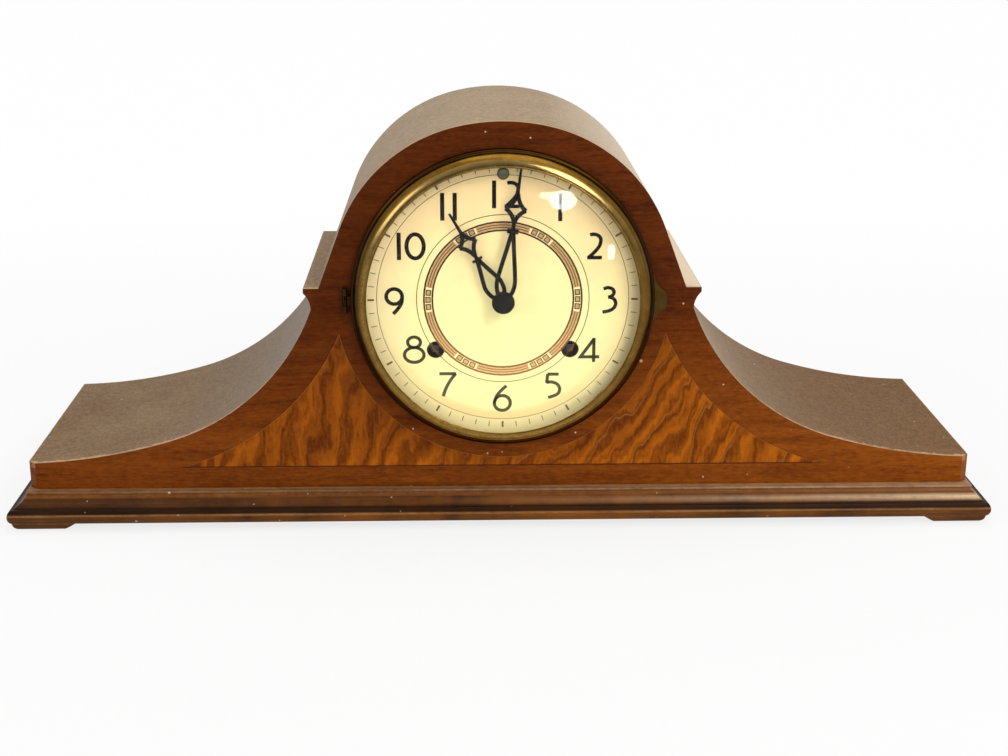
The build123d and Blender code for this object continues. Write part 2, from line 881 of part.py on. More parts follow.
centre_place = (0.0, 0.0)
time_place = (winding_x, -winding_drop)
strike_place = (-winding_x, -winding_drop)
escape_place = (0.0, escape_height)
verge_place = (0.0, verge_height)
regulator_place = (0.0, regulator_height)
second_place = meeting(centre_place, time_place, second_mesh, great_mesh, 1)
third_place = meeting(centre_place, escape_place, centre_mesh, third_mesh, 1)
minute_wheel_place = polar(motion_mesh, minute_wheel_angle)
pin_place = away(strike_place, great_mesh, pin_wheel_angle)
warning_place = away(pin_place, pin_mesh, warning_angle)
fly_place = away(warning_place, warning_mesh, fly_angle)
hammer_place = (-hammer_x, hammer_z)
pillar_corners = ((low_pillar_x, low_pillar_z), (high_pillar_x, high_pillar_z))
pillar_places = [(side * x, z) for side in (-1, 1) for x, z in pillar_corners]
arbor_holes = [
    (arbor_radius, (centre_place, verge_place, regulator_place, second_place, pin_place, hammer_place)),
    (fine_arbor_radius, (escape_place, third_place, warning_place, fly_place)),
    (winding_arbor_radius, (time_place, strike_place)),
]


def lifted(shape):
    """From the dial's centre to its height in the case."""
    return Pos(0, 0, dial_z) * shape


def ring_of_teeth(count, radius, tip, root, first_angle):
    """A toothed outline with pointed teeth and pointed gaps."""
    points = []
    for k in range(count):
        middle = first_angle + 360 * k / count
        points += [polar(radius + tip, middle), polar(radius - root, middle + 180 / count)]
    return make_face(Polyline(*points, close=True))


def wheel_face(count, leaves, mesh, toward):
    """A wheel with one tooth pointing at the pinion that it turns."""
    module = 2 * mesh / (count + leaves)
    return ring_of_teeth(count, module * count / 2, module * tip_share, module * root_share, toward)


def pinion_face(leaves, count, mesh, toward):
    """A pinion with one gap facing the wheel that turns it."""
    return wheel_face(leaves, count, mesh, toward + 180 / leaves)


def flat_piece(face, place, y_from, thickness):
    return plate_between(Pos(*place) * face, y_from, y_from + thickness)


def pinion_at(face, place, wheel_depth, wheel_thick):
    """A pinion set evenly about the wheel that it meets."""
    spare = (pinion_length - wheel_thick) / 2
    return flat_piece(face, place, depth(wheel_depth - spare), pinion_length)


def arbor(place, y_from=plate_front_y - pivot_end, y_to=plate_back_y + pivot_end, radius=arbor_radius):
    return slim_bar(place, y_from, y_to, radius)


def plate_face():
    corners = [
        (-plate_bottom_half, -plate_below), (plate_bottom_half, -plate_below), (plate_top_half, plate_above),
        (ear_half_width, plate_above), (ear_half_width, ear_above),
        (-ear_half_width, ear_above), (-ear_half_width, plate_above), (-plate_top_half, plate_above),
    ]
    face = make_face(Polyline(*corners, close=True))
    return chamfer(face.vertices(), plate_corner)


def movement_plate(y_from):
    plate = plate_between(plate_face(), y_from, y_from + plate_thickness)
    for radius, places in arbor_holes:
        for place in places:
            plate -= slim_bore(place, y_from, y_from + plate_thickness, radius)
    return plate


def front_plate():
    """The front plate with the minute wheel's stud riveted in it."""
    plate = movement_plate(plate_front_y)
    return lifted(plate + slim_bar(minute_wheel_place, hour_wheel_y, plate_front_y, arbor_radius))


def back_plate():
    return lifted(movement_plate(gap_back_y))


def pillars():
    """Four turned pillars between the plates."""
    return [lifted(slim_bar(place, gap_front_y, gap_back_y, pillar_radius)) for place in pillar_places]


def pillar_nuts():
    """Four hexagonal nuts on the back plate."""
    nut = RegularPolygon(pillar_nut_radius, 6)
    return [lifted(flat_piece(nut, place, plate_back_y, pillar_nut_height)) for place in pillar_places]


def mounting_posts():
    """Four posts that hold the front plate off the front board."""
    return [lifted(slim_bar(place, board_back_y, plate_front_y, pillar_radius)) for place in pillar_places]


# Great wheels, ratchets, clicks and mainsprings. The strike side mirrors the time side.

def great_wheel(place, partner):
    face = wheel_face(great_teeth, great_pinion_leaves, great_mesh, heading(place, partner))
    reach = (depth(great_wheel_depth), depth(great_wheel_depth) + great_wheel_thickness)
    wheel = plate_between(Pos(*place) * face, *reach)
    wheel -= slim_bore(place, *reach, winding_arbor_radius)
    rivet_x, rivet_z = click_rivet
    rivet = (place[0] + (rivet_x if place[0] > 0 else -rivet_x), place[1] + rivet_z)
    return lifted(wheel - slim_bore(rivet, *reach, arbor_radius))


ratchet_depth = great_wheel_depth + great_wheel_thickness + running_gap
click_rivet = polar(click_pivot_radius, click_angle)


def ratchet_face(side):
    points = []
    for k in range(ratchet_teeth):
        angle = 360 * k / ratchet_teeth
        points += [polar(ratchet_radius - ratchet_tooth, angle), polar(ratchet_radius, angle)]
    return make_face(Polyline(*[(side * x, z) for x, z in points], close=True))


def winding_arbor(side):
    """A stout arbor with a squared front end and the ratchet wheel fast on it."""
    place = (side * winding_x, -winding_drop)
    body = arbor(place, radius=winding_arbor_radius)
    square_front = front_y + winding_end_depth
    square = Rectangle(winding_square, winding_square)
    body += flat_piece(square, place, square_front, plate_front_y - square_front)
    return lifted(body + flat_piece(ratchet_face(side), place, depth(ratchet_depth), ratchet_thickness))


def click(side):
    """A pawl on a rivet in the great wheel, with its nose just short of a ratchet tooth."""
    face_angle = 360 / ratchet_teeth
    root = ratchet_radius - ratchet_tooth
    nose = polar(root + click_nose_lift, face_angle - degrees(click_nose_lift / root))
    rivet = click_rivet
    ux, uz = nose[0] - rivet[0], nose[1] - rivet[1]
    span = hypot(ux, uz)
    nx, nz = -uz / span, ux / span
    half, tip_half = click_width / 2, click_tip_half
    body = make_face(Polyline(
        (rivet[0] + nx * half, rivet[1] + nz * half), (nose[0] + nx * tip_half, nose[1] + nz * tip_half),
        (nose[0] - nx * tip_half, nose[1] - nz * tip_half), (rivet[0] - nx * half, rivet[1] - nz * half),
        close=True,
    )) + Pos(*rivet) * RegularPolygon(half, slim_sides)
    place = (winding_x, -winding_drop)
    pawl = flat_piece(body, place, depth(ratchet_depth), ratchet_thickness)
    rivet_place = (place[0] + rivet[0], place[1] + rivet[1])
    rivet_y = depth(great_wheel_depth) - screw_head_height / 2
    pawl += slim_bar(rivet_place, rivet_y, depth(ratchet_depth), arbor_radius)
    return lifted(pawl if side > 0 else mirror(pawl, about=Plane.YZ))


def spiral_path(inner_radius, pitch, turns, end_angle):
    """Points along an even spiral, wound outwards and anticlockwise to end at an angle."""
    count = round(turns * turn_steps)
    start = end_angle - 360 * turns
    turned_by = [k / turn_steps for k in range(count + 1)]
    return [polar(inner_radius + pitch * share, start + 360 * share) for share in turned_by]


def wound_face(path, strip, name):
    """A strip laid along a path, with its least gap to itself measured on the path's points."""
    rails = ([], [])
    for k, here in enumerate(path):
        before, after = path[max(k - 1, 0)], path[min(k + 1, len(path) - 1)]
        across = radians(heading(before, after) + 90 if k else heading(here, (0, 0)))
        for rail, reach in zip(rails, (strip / 2, -strip / 2)):
            rail.append((here[0] + reach * cos(across), here[1] + reach * sin(across)))
    apart = turn_steps // 2
    gaps = [
        hypot(a[0] - b[0], a[1] - b[1]) for k, a in enumerate(rails[0]) for b in rails[1][k + apart:]
    ] + [
        hypot(a[0] - b[0], a[1] - b[1]) for k, a in enumerate(rails[1]) for b in rails[0][k + apart:]
    ]
    print(f"{name}: least gap between its turns {min(gaps):.2f} mm")
    return make_face(Polyline(*rails[0], *reversed(rails[1]), close=True))


def mainsprings():
    """Two broad strips, each wound round its arbor with the outer end led to the low pillar."""
    toward = (low_pillar_x - time_place[0], low_pillar_z - time_place[1])
    end_radius = spring_inner_radius + spring_pitch * spring_turns
    span = hypot(*toward)
    end_angle = heading((0, 0), toward) - degrees(acos(end_radius / span))
    path = spiral_path(spring_inner_radius, spring_pitch, spring_turns, end_angle)
    share = (pillar_radius + running_gap) / hypot(toward[0] - path[-1][0], toward[1] - path[-1][1])
    path.append(tuple(far + (near - far) * share for near, far in zip(path[-1], toward)))
    face = wound_face(path, spring_strip, "mainspring")
    spring = lifted(flat_piece(face, time_place, depth(spring_depth), spring_width))
    return [spring, mirror(spring, about=Plane.YZ)]


# Going train: second, centre, third and escape wheels.

def second_wheel():
    body = arbor(second_place)
    body += pinion_at(
        pinion_face(great_pinion_leaves, great_teeth, great_mesh, heading(second_place, time_place)),
        second_place, great_wheel_depth, great_wheel_thickness,
    )
    face = wheel_face(second_teeth, second_leaves, second_mesh, heading(second_place, centre_place))
    return lifted(body + flat_piece(face, second_place, depth(second_wheel_depth), wheel_thickness))


def centre_wheel():
    """The hour arbor of the train: its long front end carries the minute hand's pipe."""
    body = arbor(centre_place, y_from=hand_front_y + hand_thickness)
    body += pinion_at(
        pinion_face(second_leaves, second_teeth, second_mesh, heading(centre_place, second_place)),
        centre_place, second_wheel_depth, wheel_thickness,
    )
    face = wheel_face(centre_teeth, third_leaves, centre_mesh, heading(centre_place, third_place))
    return lifted(body + flat_piece(face, centre_place, depth(centre_wheel_depth), wheel_thickness))


def third_wheel():
    body = arbor(third_place, radius=fine_arbor_radius)
    body += pinion_at(
        pinion_face(third_leaves, centre_teeth, centre_mesh, heading(third_place, centre_place)),
        third_place, centre_wheel_depth, wheel_thickness,
    )
    face = wheel_face(third_teeth, escape_leaves, third_mesh, heading(third_place, escape_place))
    return lifted(body + flat_piece(face, third_place, depth(third_wheel_depth), wheel_thickness))


def escape_wheel():
    """A wheel with pointed teeth that lean forward."""
    body = arbor(escape_place, radius=fine_arbor_radius)
    body += pinion_at(
        pinion_face(escape_leaves, third_teeth, third_mesh, heading(escape_place, third_place)),
        escape_place, third_wheel_depth, wheel_thickness,
    )
    points = []
    pitch = 360 / escape_teeth
    for k in range(escape_teeth):
        points += [
            polar(escape_radius - escape_tooth_height, k * pitch),
            polar(escape_radius, (k + tooth_lean_share) * pitch),
        ]
    face = make_face(Polyline(*points, close=True))
    return lifted(body + flat_piece(face, escape_place, depth(escape_wheel_depth), wheel_thickness))


def verge():
    """The anchor on its arbor, with the crutch and its fork behind the back plate."""
    crutch_y = plate_back_y + crutch_stand_off
    body = arbor(verge_place, y_to=crutch_y + crutch_thickness)
    rise = radians(verge_swing) * (verge_height - escape_height)
    tip_radius = escape_radius + pallet_gap + rise + anchor_width / 2
    face = Pos(*verge_place) * RegularPolygon(anchor_width, slim_sides)
    for side in (-1, 1):
        tip = away(escape_place, tip_radius, 90 + side * pallet_span_angle)
        elbow = away(escape_place, tip_radius + elbow_rise, 90 + side * pallet_span_angle * elbow_share)
        face += trace(Polyline(verge_place, elbow, tip), anchor_width)
    spare = (anchor_thickness - wheel_thickness) / 2
    anchor_y = depth(escape_wheel_depth - spare)
    body += plate_between(face, anchor_y, anchor_y + anchor_thickness)
    foot = verge_height - crutch_drop
    bar = Pos(0, (verge_height + foot) / 2) * Rectangle(crutch_width, verge_height - foot)
    bar += Pos(*verge_place) * RegularPolygon(crutch_hub_radius, slim_sides)
    body += plate_between(bar, crutch_y, crutch_y + crutch_thickness)
    inner = rod_radius + fork_gap
    bridge = (-inner - fork_thickness, inner + fork_thickness)
    body += box_between(bridge, (crutch_y, crutch_y + crutch_thickness), (foot, foot + fork_height))
    for side in (-1, 1):
        prong = sorted((side * inner, side * (inner + fork_thickness)))
        body += box_between(prong, (crutch_y, pendulum_y + fork_reach), (foot, foot + fork_height))
    return lifted(body)


def suspension_cock():
    """A bracket on the back plate whose split jaw takes the suspension spring."""
    arm_top = jaw_bottom + cock_arm_rise
    jaw_y = pendulum_y - jaw_depth / 2
    points = [
        (plate_back_y, cock_foot_bottom - cock_arm_thickness), (plate_back_y, cock_foot_top),
        (plate_back_y + cock_foot_thickness, cock_foot_top), (plate_back_y + cock_foot_thickness, arm_top),
        (jaw_y + jaw_depth, arm_top), (jaw_y + jaw_depth, jaw_bottom), (jaw_y, jaw_bottom),
        (jaw_y, cock_foot_bottom - cock_arm_thickness),
    ]
    face = Plane.YZ * make_face(Polyline(*points, close=True))
    cock = extrude(face, amount=cock_half_width, both=True)
    slot_z = (jaw_bottom - jaw_depth, jaw_bottom + jaw_slot_depth)
    slot_y = (jaw_y - cut_overrun, jaw_y + jaw_depth + cut_overrun)
    cock -= box_between((-jaw_slot / 2, jaw_slot / 2), slot_y, slot_z)
    foot_end = plate_back_y + cock_foot_thickness
    return lifted(cock - slim_bore(regulator_place, plate_back_y, foot_end, arbor_radius))


def regulator_arbor():
    """The fast and slow arbor: its slotted head shows in the dial near twelve."""
    head_front = dial_face_y - regulator_head_length / 2
    head_back = head_front + regulator_head_length
    head = rod_between(*regulator_place, head_front, head_back, regulator_head_radius)
    shank_end = plate_back_y + cock_foot_thickness + pivot_end
    shank = slim_bar(regulator_place, head_front, shank_end, arbor_radius)
    return lifted(head + shank)


bob_z = bob_height - dial_centre_height


def pendulum_rod():
    """The suspension spring's leaf, its block and the rod."""
    leaf_y = (pendulum_y - spring_leaf_width / 2, pendulum_y + spring_leaf_width / 2)
    leaf_x = (-spring_leaf_thickness / 2, spring_leaf_thickness / 2)
    block_top = verge_height - spring_leaf_down
    body = box_between(leaf_x, leaf_y, (block_top - rod_block / 2, verge_height + spring_leaf_up))
    block_x = (-rod_block_half_width, rod_block_half_width)
    body += box_between(block_x, leaf_y, (block_top - rod_block, block_top))
    return lifted(body + slim_upright(0, pendulum_y, bob_z - rod_tail, block_top - rod_block, rod_radius))


def pendulum_bob():
    """A plain drum of a bob, bored for the rod."""
    back, front = pendulum_y + bob_thickness / 2, pendulum_y - bob_thickness / 2
    bob = turned([(0, back), (bob_radius, back), (bob_radius, front), (0, front)])
    low, high = dial_z - bob_radius - cut_overrun, dial_z + bob_radius + cut_overrun
    bob -= slim_upright(0, pendulum_y, low, high, (rod_radius + pivot_gap) / cos(pi / slim_sides))
    return Pos(0, 0, bob_z) * bob


def rating_nut():
    """The nut that the bob rests on."""
    top = bob_z - bob_radius - running_gap
    nut = Pos(0, pendulum_y, top - rating_nut_height) * extrude(
        RegularPolygon(rating_nut_radius, 6), rating_nut_height
    )
    low, high = top - rating_nut_height - cut_overrun, top + cut_overrun
    clear = (rod_radius + pivot_gap) / cos(pi / slim_sides)
    return lifted(nut - slim_upright(0, pendulum_y, low, high, clear))


# Motion work between the front plate and the dial.

def cannon_pinion():
    """The minute hand's pipe and pinion, a friction fit on the centre arbor."""
    leaves = pinion_face(cannon_leaves, minute_wheel_teeth, motion_mesh, minute_wheel_angle)
    body = flat_piece(leaves, centre_place, cannon_back_y - pinion_length, pinion_length)
    body += slim_bar(centre_place, hand_front_y, cannon_back_y, cannon_tube_radius)
    return lifted(body - slim_bore(centre_place, hand_front_y, cannon_back_y, arbor_radius))


def minute_wheel():
    wheel_y = cannon_back_y - pinion_length + (pinion_length - motion_wheel_thickness) / 2
    toward = heading(minute_wheel_place, centre_place)
    wheel = wheel_face(minute_wheel_teeth, cannon_leaves, motion_mesh, toward)
    body = flat_piece(wheel, minute_wheel_place, wheel_y, motion_wheel_thickness)
    leaves = pinion_face(minute_pinion_leaves, hour_wheel_teeth, motion_mesh, toward)
    front = hour_wheel_y - motion_wheel_thickness / 2
    body += flat_piece(leaves, minute_wheel_place, front, wheel_y - front)
    return lifted(body - slim_bore(minute_wheel_place, front, wheel_y + motion_wheel_thickness, arbor_radius))


def hour_wheel():
    """The hour hand's wheel and pipe."""
    face = wheel_face(hour_wheel_teeth, minute_pinion_leaves, motion_mesh, minute_wheel_angle)
    body = flat_piece(face, centre_place, hour_wheel_y, motion_wheel_thickness)
    front = dial_face_y - hour_hand_lift - hand_thickness
    body += slim_bar(centre_place, front, hour_wheel_y, hour_tube_radius)
    bore = slim_bore(centre_place, front, hour_wheel_y, cannon_tube_radius)
    return lifted(body - bore)


# Striking train, hammer and gong.

def pin_wheel():
    """The wheel whose star lifts the hammer's tail."""
    body = arbor(pin_place)
    body += pinion_at(
        pinion_face(pin_wheel_leaves, great_teeth, great_mesh, heading(pin_place, strike_place)),
        pin_place, great_wheel_depth, great_wheel_thickness,
    )
    face = wheel_face(pin_wheel_teeth, warning_leaves, pin_mesh, heading(pin_place, warning_place))
    body += flat_piece(face, pin_place, depth(second_wheel_depth), wheel_thickness)
    toward = heading(pin_place, hammer_place)
    star = Pos(*pin_place) * ring_of_teeth(star_points, star_radius, 0, star_notch, toward)
    star_front = depth(second_wheel_depth) - star_thickness
    return lifted(body + plate_between(star, star_front, depth(second_wheel_depth)))


def warning_wheel():
    body = arbor(warning_place, radius=fine_arbor_radius)
    body += pinion_at(
        pinion_face(warning_leaves, pin_wheel_teeth, pin_mesh, heading(warning_place, pin_place)),
        warning_place, second_wheel_depth, wheel_thickness,
    )
    face = wheel_face(warning_teeth, fly_leaves, warning_mesh, heading(warning_place, fly_place))
    return lifted(body + flat_piece(face, warning_place, depth(warning_wheel_depth), wheel_thickness))


def fly():
    """Two thin vanes that slow the striking by beating the air."""
    body = arbor(fly_place, radius=fine_arbor_radius)
    body += pinion_at(
        pinion_face(fly_leaves, warning_teeth, warning_mesh, heading(fly_place, warning_place)),
        fly_place, warning_wheel_depth, wheel_thickness,
    )
    vane = Rectangle(fly_half_width * 2, fly_thickness)
    return lifted(body + flat_piece(vane, fly_place, depth(fly_depth), fly_length))


gong_centre = (0.0, gong_centre_height - dial_centre_height)
gong_reach = gong_inner_radius + gong_pitch * gong_turns + gong_wire / 2


def hammer():
    """Arbor, lifting tail, bent stem and brass head beside the gong."""
    stem_y = gong_y + gong_wire / 2
    body = arbor(hammer_place, y_to=stem_y + hammer_rod_radius)
    reach = hypot(hammer_place[0] - pin_place[0], hammer_place[1] - pin_place[1])
    reach -= star_radius + hammer_tail_gap
    tail = Pos(reach / 2, 0) * Rectangle(reach, hammer_tail_width)
    tail = Rot(0, 0, heading(hammer_place, pin_place)) * tail + RegularPolygon(hammer_tail_width, slim_sides)
    tail_y = depth(second_wheel_depth) - (star_thickness + hammer_tail_thickness) / 2
    body += flat_piece(tail, hammer_place, tail_y, hammer_tail_thickness)
    head_x = -gong_reach - hammer_rest_gap - hammer_head_length / 2
    head_z = gong_centre[1]
    start, end = Vector(hammer_place[0], stem_y, hammer_place[1]), Vector(head_x, stem_y, head_z)
    span = end - start
    middle = Plane(origin=start, z_dir=span)
    stem = middle * extrude(RegularPolygon(hammer_rod_radius, slim_sides), span.length)
    head = Pos(head_x, stem_y, head_z) * (Rot(0, 90, 0) * Cylinder(hammer_head_radius, hammer_head_length))
    return lifted(body + stem + head)


def coil_gong():
    """A flat spiral of square steel wire, from the block on its stand to a free end by the hammer."""
    path = spiral_path(gong_inner_radius, gong_pitch, gong_turns, 180.0)
    face = wound_face(path, gong_wire, "gong")
    return lifted(flat_piece(face, gong_centre, gong_y, gong_wire))


def gong_stand():
    """An iron post on the base, with a block that grips the inner end of the gong."""
    cx, cz = gong_centre
    post_y = gong_y + gong_block_thickness
    floor = base_height - dial_z
    block = box_between(
        (cx - gong_inner_radius - gong_wire / 2, cx + gong_wire), (gong_y, post_y), (cz, cz + gong_block_half)
    )
    post = box_between(
        (cx - gong_post_half_width, cx + gong_post_half_width), (post_y, post_y + gong_post_thickness),
        (floor + gong_foot_height, cz + gong_block_half),
    )
    foot_front = post_y - gong_wire
    foot_width = (back_board_y - foot_front) * gong_foot_share
    foot = box_between(
        (cx - gong_foot_length / 2, cx + gong_foot_length / 2),
        (foot_front, foot_front + foot_width), (floor, floor + gong_foot_height),
    )
    return lifted(block + post + foot)


sides = (("left", -1), ("right", 1))
trains = (("time", 1, time_place, second_place), ("strike", -1, strike_place, pin_place))

write(base_board(), "base_board")
write(front_moulding(), "front_base_moulding")
write(feet(), "feet")
write(front_board(), "front_board")
write(inlay_panel(), "inlay_panel")
write(roof(), "hump_roof")
for name, side in sides:
    write(side_moulding(side), f"{name}_base_moulding")
    write(wing(side), f"{name}_wing")
    write(end_block(side), f"{name}_end_block")
    write(shoulder(side), f"{name}_shoulder")
write(back_board(), "back_board")
write(back_door(), "back_door")
write(frame_hinge_leaves(), "frame_hinge_leaves")
write(door_hinge_leaves(), "door_hinge_leaves")
write(turn_button(), "turn_button")
write(dial_plate(), "dial_plate")
write(bezel_ring(), "bezel_ring")
write(bezel_hinge_leaf(), "bezel_hinge_leaf")
write(bezel_tab(), "bezel_tab")
write(bezel_glass(), "bezel_glass")
write(glass_clips(), "glass_clips")
write(hour_hand(), "hour_hand")
write(minute_hand(), "minute_hand")
write(hand_nut(), "hand_nut")
write(front_plate(), "front_plate")
write(back_plate(), "back_plate")
write(pillars(), "pillars")
write(pillar_nuts(), "pillar_nuts")
write(mounting_posts(), "mounting_posts")
for name, side, place, partner in trains:
    write(great_wheel(place, partner), f"{name}_great_wheel")
    write(winding_arbor(side), f"{name}_winding_arbor")
    write(click(side), f"{name}_click")
write(mainsprings(), "mainsprings")
write(second_wheel(), "second_wheel")
write(centre_wheel(), "centre_wheel")
write(third_wheel(), "third_wheel")
write(escape_wheel(), "escape_wheel")
write(verge(), "verge")
write(suspension_cock(), "suspension_cock")
write(regulator_arbor(), "regulator_arbor")
write(pendulum_rod(), "pendulum_rod")
write(pendulum_bob(), "pendulum_bob")
write(rating_nut(), "rating_nut")
write(cannon_pinion(), "cannon_pinion")
write(minute_wheel(), "minute_wheel")
write(hour_wheel(), "hour_wheel")
write(pin_wheel(), "pin_wheel")
write(warning_wheel(), "warning_wheel")
write(fly(), "fly")
write(hammer(), "hammer")
write(coil_gong(), "coil_gong")
write(gong_stand(), "gong_stand")
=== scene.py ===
import json
from math import atan2, ceil, cos, pi, radians, sin, sqrt

import bpy
from mathutils import Matrix, Vector


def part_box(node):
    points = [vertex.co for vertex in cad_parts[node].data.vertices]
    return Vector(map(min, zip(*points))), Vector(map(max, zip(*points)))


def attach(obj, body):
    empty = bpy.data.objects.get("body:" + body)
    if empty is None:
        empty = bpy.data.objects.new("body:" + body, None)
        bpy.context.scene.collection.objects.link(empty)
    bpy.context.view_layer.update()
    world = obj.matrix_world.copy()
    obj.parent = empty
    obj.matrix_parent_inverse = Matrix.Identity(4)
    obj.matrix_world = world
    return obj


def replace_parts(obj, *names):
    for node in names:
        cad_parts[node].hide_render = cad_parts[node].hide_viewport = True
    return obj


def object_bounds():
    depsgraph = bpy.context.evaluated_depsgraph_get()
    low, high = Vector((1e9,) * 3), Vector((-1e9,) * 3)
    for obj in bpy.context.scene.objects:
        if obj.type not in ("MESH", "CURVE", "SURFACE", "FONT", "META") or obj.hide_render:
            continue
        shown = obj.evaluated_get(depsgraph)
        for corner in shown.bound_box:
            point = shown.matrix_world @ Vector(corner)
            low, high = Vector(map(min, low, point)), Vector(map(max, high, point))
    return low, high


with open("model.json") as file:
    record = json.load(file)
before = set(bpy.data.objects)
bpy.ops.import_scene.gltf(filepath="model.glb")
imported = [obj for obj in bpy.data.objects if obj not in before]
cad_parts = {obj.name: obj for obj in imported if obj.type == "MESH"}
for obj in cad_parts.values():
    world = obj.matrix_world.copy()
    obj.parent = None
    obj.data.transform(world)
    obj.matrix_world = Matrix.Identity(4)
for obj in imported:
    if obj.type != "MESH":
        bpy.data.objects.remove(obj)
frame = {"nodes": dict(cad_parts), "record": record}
nodes = frame["nodes"]
cad_low, cad_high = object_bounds()
mm = 0.001

# Base mouldings and feet: stained hardwood run to a nosed band, a cove and a ledge, mitred at the
# front corners and glued round a softwood board, with a low foot under each corner. The stain
# has worn to tan along the arrises, and grey dust lies in the cove. A painted highlight lies in the
# cove and on the ledge's arris to the right, and a painted shadow lies at the cove's foot.


class Wire:
    """One socket of a finish: sums on it add Math nodes, and node() adds every other node."""

    def __init__(self, tree, socket=None):
        self.tree = tree
        self.socket = socket

    def node(self, kind, settings, sockets, out=0):
        """A new node: its settings first, and then the values or links of its sockets."""
        made = self.tree.nodes.new("ShaderNode" + kind)
        for name, value in settings.items():
            setattr(made, name, value)
        feed(made, sockets)
        return Wire(self.tree, made.outputs[out])

    def other(self, out):
        """Another output of the same node."""
        return Wire(self.tree, self.socket.node.outputs[out])

    def sum(self, operation, first, second, held=False):
        return self.node("Math", {"operation": operation, "use_clamp": held}, {0: first, 1: second})

    def __add__(self, other):
        return self.sum("ADD", self, other)

    def __sub__(self, other):
        return self.sum("SUBTRACT", self, other)

    def __rsub__(self, other):
        return self.sum("SUBTRACT", other, self)

    def __mul__(self, other):
        return self.sum("MULTIPLY", self, other)

    def __truediv__(self, other):
        return self.sum("DIVIDE", self, other)

    def __rtruediv__(self, other):
        return self.sum("DIVIDE", other, self)

    def __pow__(self, other):
        return self.sum("POWER", self, other)

    __radd__ = __add__
    __rmul__ = __mul__

    def wave(self):
        return self.sum("SINE", self, 0.0)

    def held(self):
        """The same number, kept between 0 and 1."""
        return self.sum("ADD", self, 0.0, held=True)

    def over(self, edge, soft):
        """A mask that rises from 0 to 1 across soft, about edge."""
        return ((self - edge) / soft + 0.5).held()

    def within(self, low, high, soft):
        """A mask that is 1 between low and high."""
        return self.over(low, soft) * (1 - self.over(high, soft))

    def stretched(self, x, y, z):
        return self.node("VectorMath", {"operation": "MULTIPLY"}, {0: self, 1: (x, y, z)})

    def shifted(self, by, reach):
        """The place moved about by a noise colour, up to half of reach each way."""
        middle = by.node("VectorMath", {"operation": "SUBTRACT"}, {0: by, 1: (0.5, 0.5, 0.5)})
        moved = middle.stretched(reach, reach, reach)
        return self.node("VectorMath", {"operation": "ADD"}, {0: self, 1: moved})

    def parts(self):
        """The three numbers of a place or a colour."""
        split = self.node("SeparateXYZ", {}, {0: self})
        return split, split.other(1), split.other(2)

    def noise(self, spacing, detail=3.0, rough=0.5):
        """A noise whose blotches lie about spacing millimetres apart."""
        sockets = {"Vector": self, "Scale": 1 / spacing, "Detail": detail, "Roughness": rough}
        return self.node("TexNoise", {}, sockets)

    def blend(self, none, full):
        """The colour none where this mask is 0, and full where it is 1."""
        return self.node("Mix", {"data_type": "RGBA"}, {0: self, 6: none, 7: full}, 2)

    def bump(self, depth, strength):
        """The surface raised by this height, up to depth millimetres."""
        sockets = {"Height": self, "Strength": strength, "Distance": depth * mm}
        return self.node("Bump", {}, sockets)


def feed(made, sockets):
    """Links or sets a node's sockets."""
    for name, value in sockets.items():
        if isinstance(value, Wire):
            made.id_data.links.new(value.socket, made.inputs[name])
        else:
            made.inputs[name].default_value = value


def tone(red, green, blue):
    return (red, green, blue, 1.0)


def finish(name):
    """A new material, its shader, and the place on the piece in millimetres."""
    made = bpy.data.materials.new(name)
    made.use_nodes = True
    shader = made.node_tree.nodes["Principled BSDF"]
    place = Wire(made.node_tree).node("TexCoord", {}, {}, "Object")
    return made, shader, place.stretched(1 / mm, 1 / mm, 1 / mm)


def coat(material, *pieces):
    for piece in pieces:
        piece.data.materials.clear()
        piece.data.materials.append(material)


def specks(place, spacing, size, share):
    """A mask of scattered specks, in a share of the cells of a loose pattern."""
    near = place.node("TexVoronoi", {}, {"Vector": place, "Scale": 1 / spacing})
    chosen = near.other("Color").parts()[0].over(1 - share, 0.02)
    return (1 - near * (spacing / size)).held().over(0.3, 0.4) * chosen


def edge_line(place, reach):
    """A mask along sharp edges, as wide as reach on each side."""
    rounded = place.node("Bevel", {"samples": 6}, {"Radius": reach * mm})
    flat = place.node("NewGeometry", {}, {}, "Normal")
    turn = rounded.node("VectorMath", {"operation": "DOT_PRODUCT"}, {0: rounded, 1: flat}, "Value")
    return ((1 - turn) * 9).held()


def worn_edge(place, reach):
    """The same mask, broken up as wear is."""
    return edge_line(place, reach) * place.noise(5.0, 4.0, 0.65).over(0.5, 0.25)


moulding_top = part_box("front_base_moulding")[1].z / mm
band_top = moulding_top - 7.55
ledge_foot = moulding_top - 3.3
ledge_top = moulding_top - 0.25
board_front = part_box("front_board")[0].y / mm


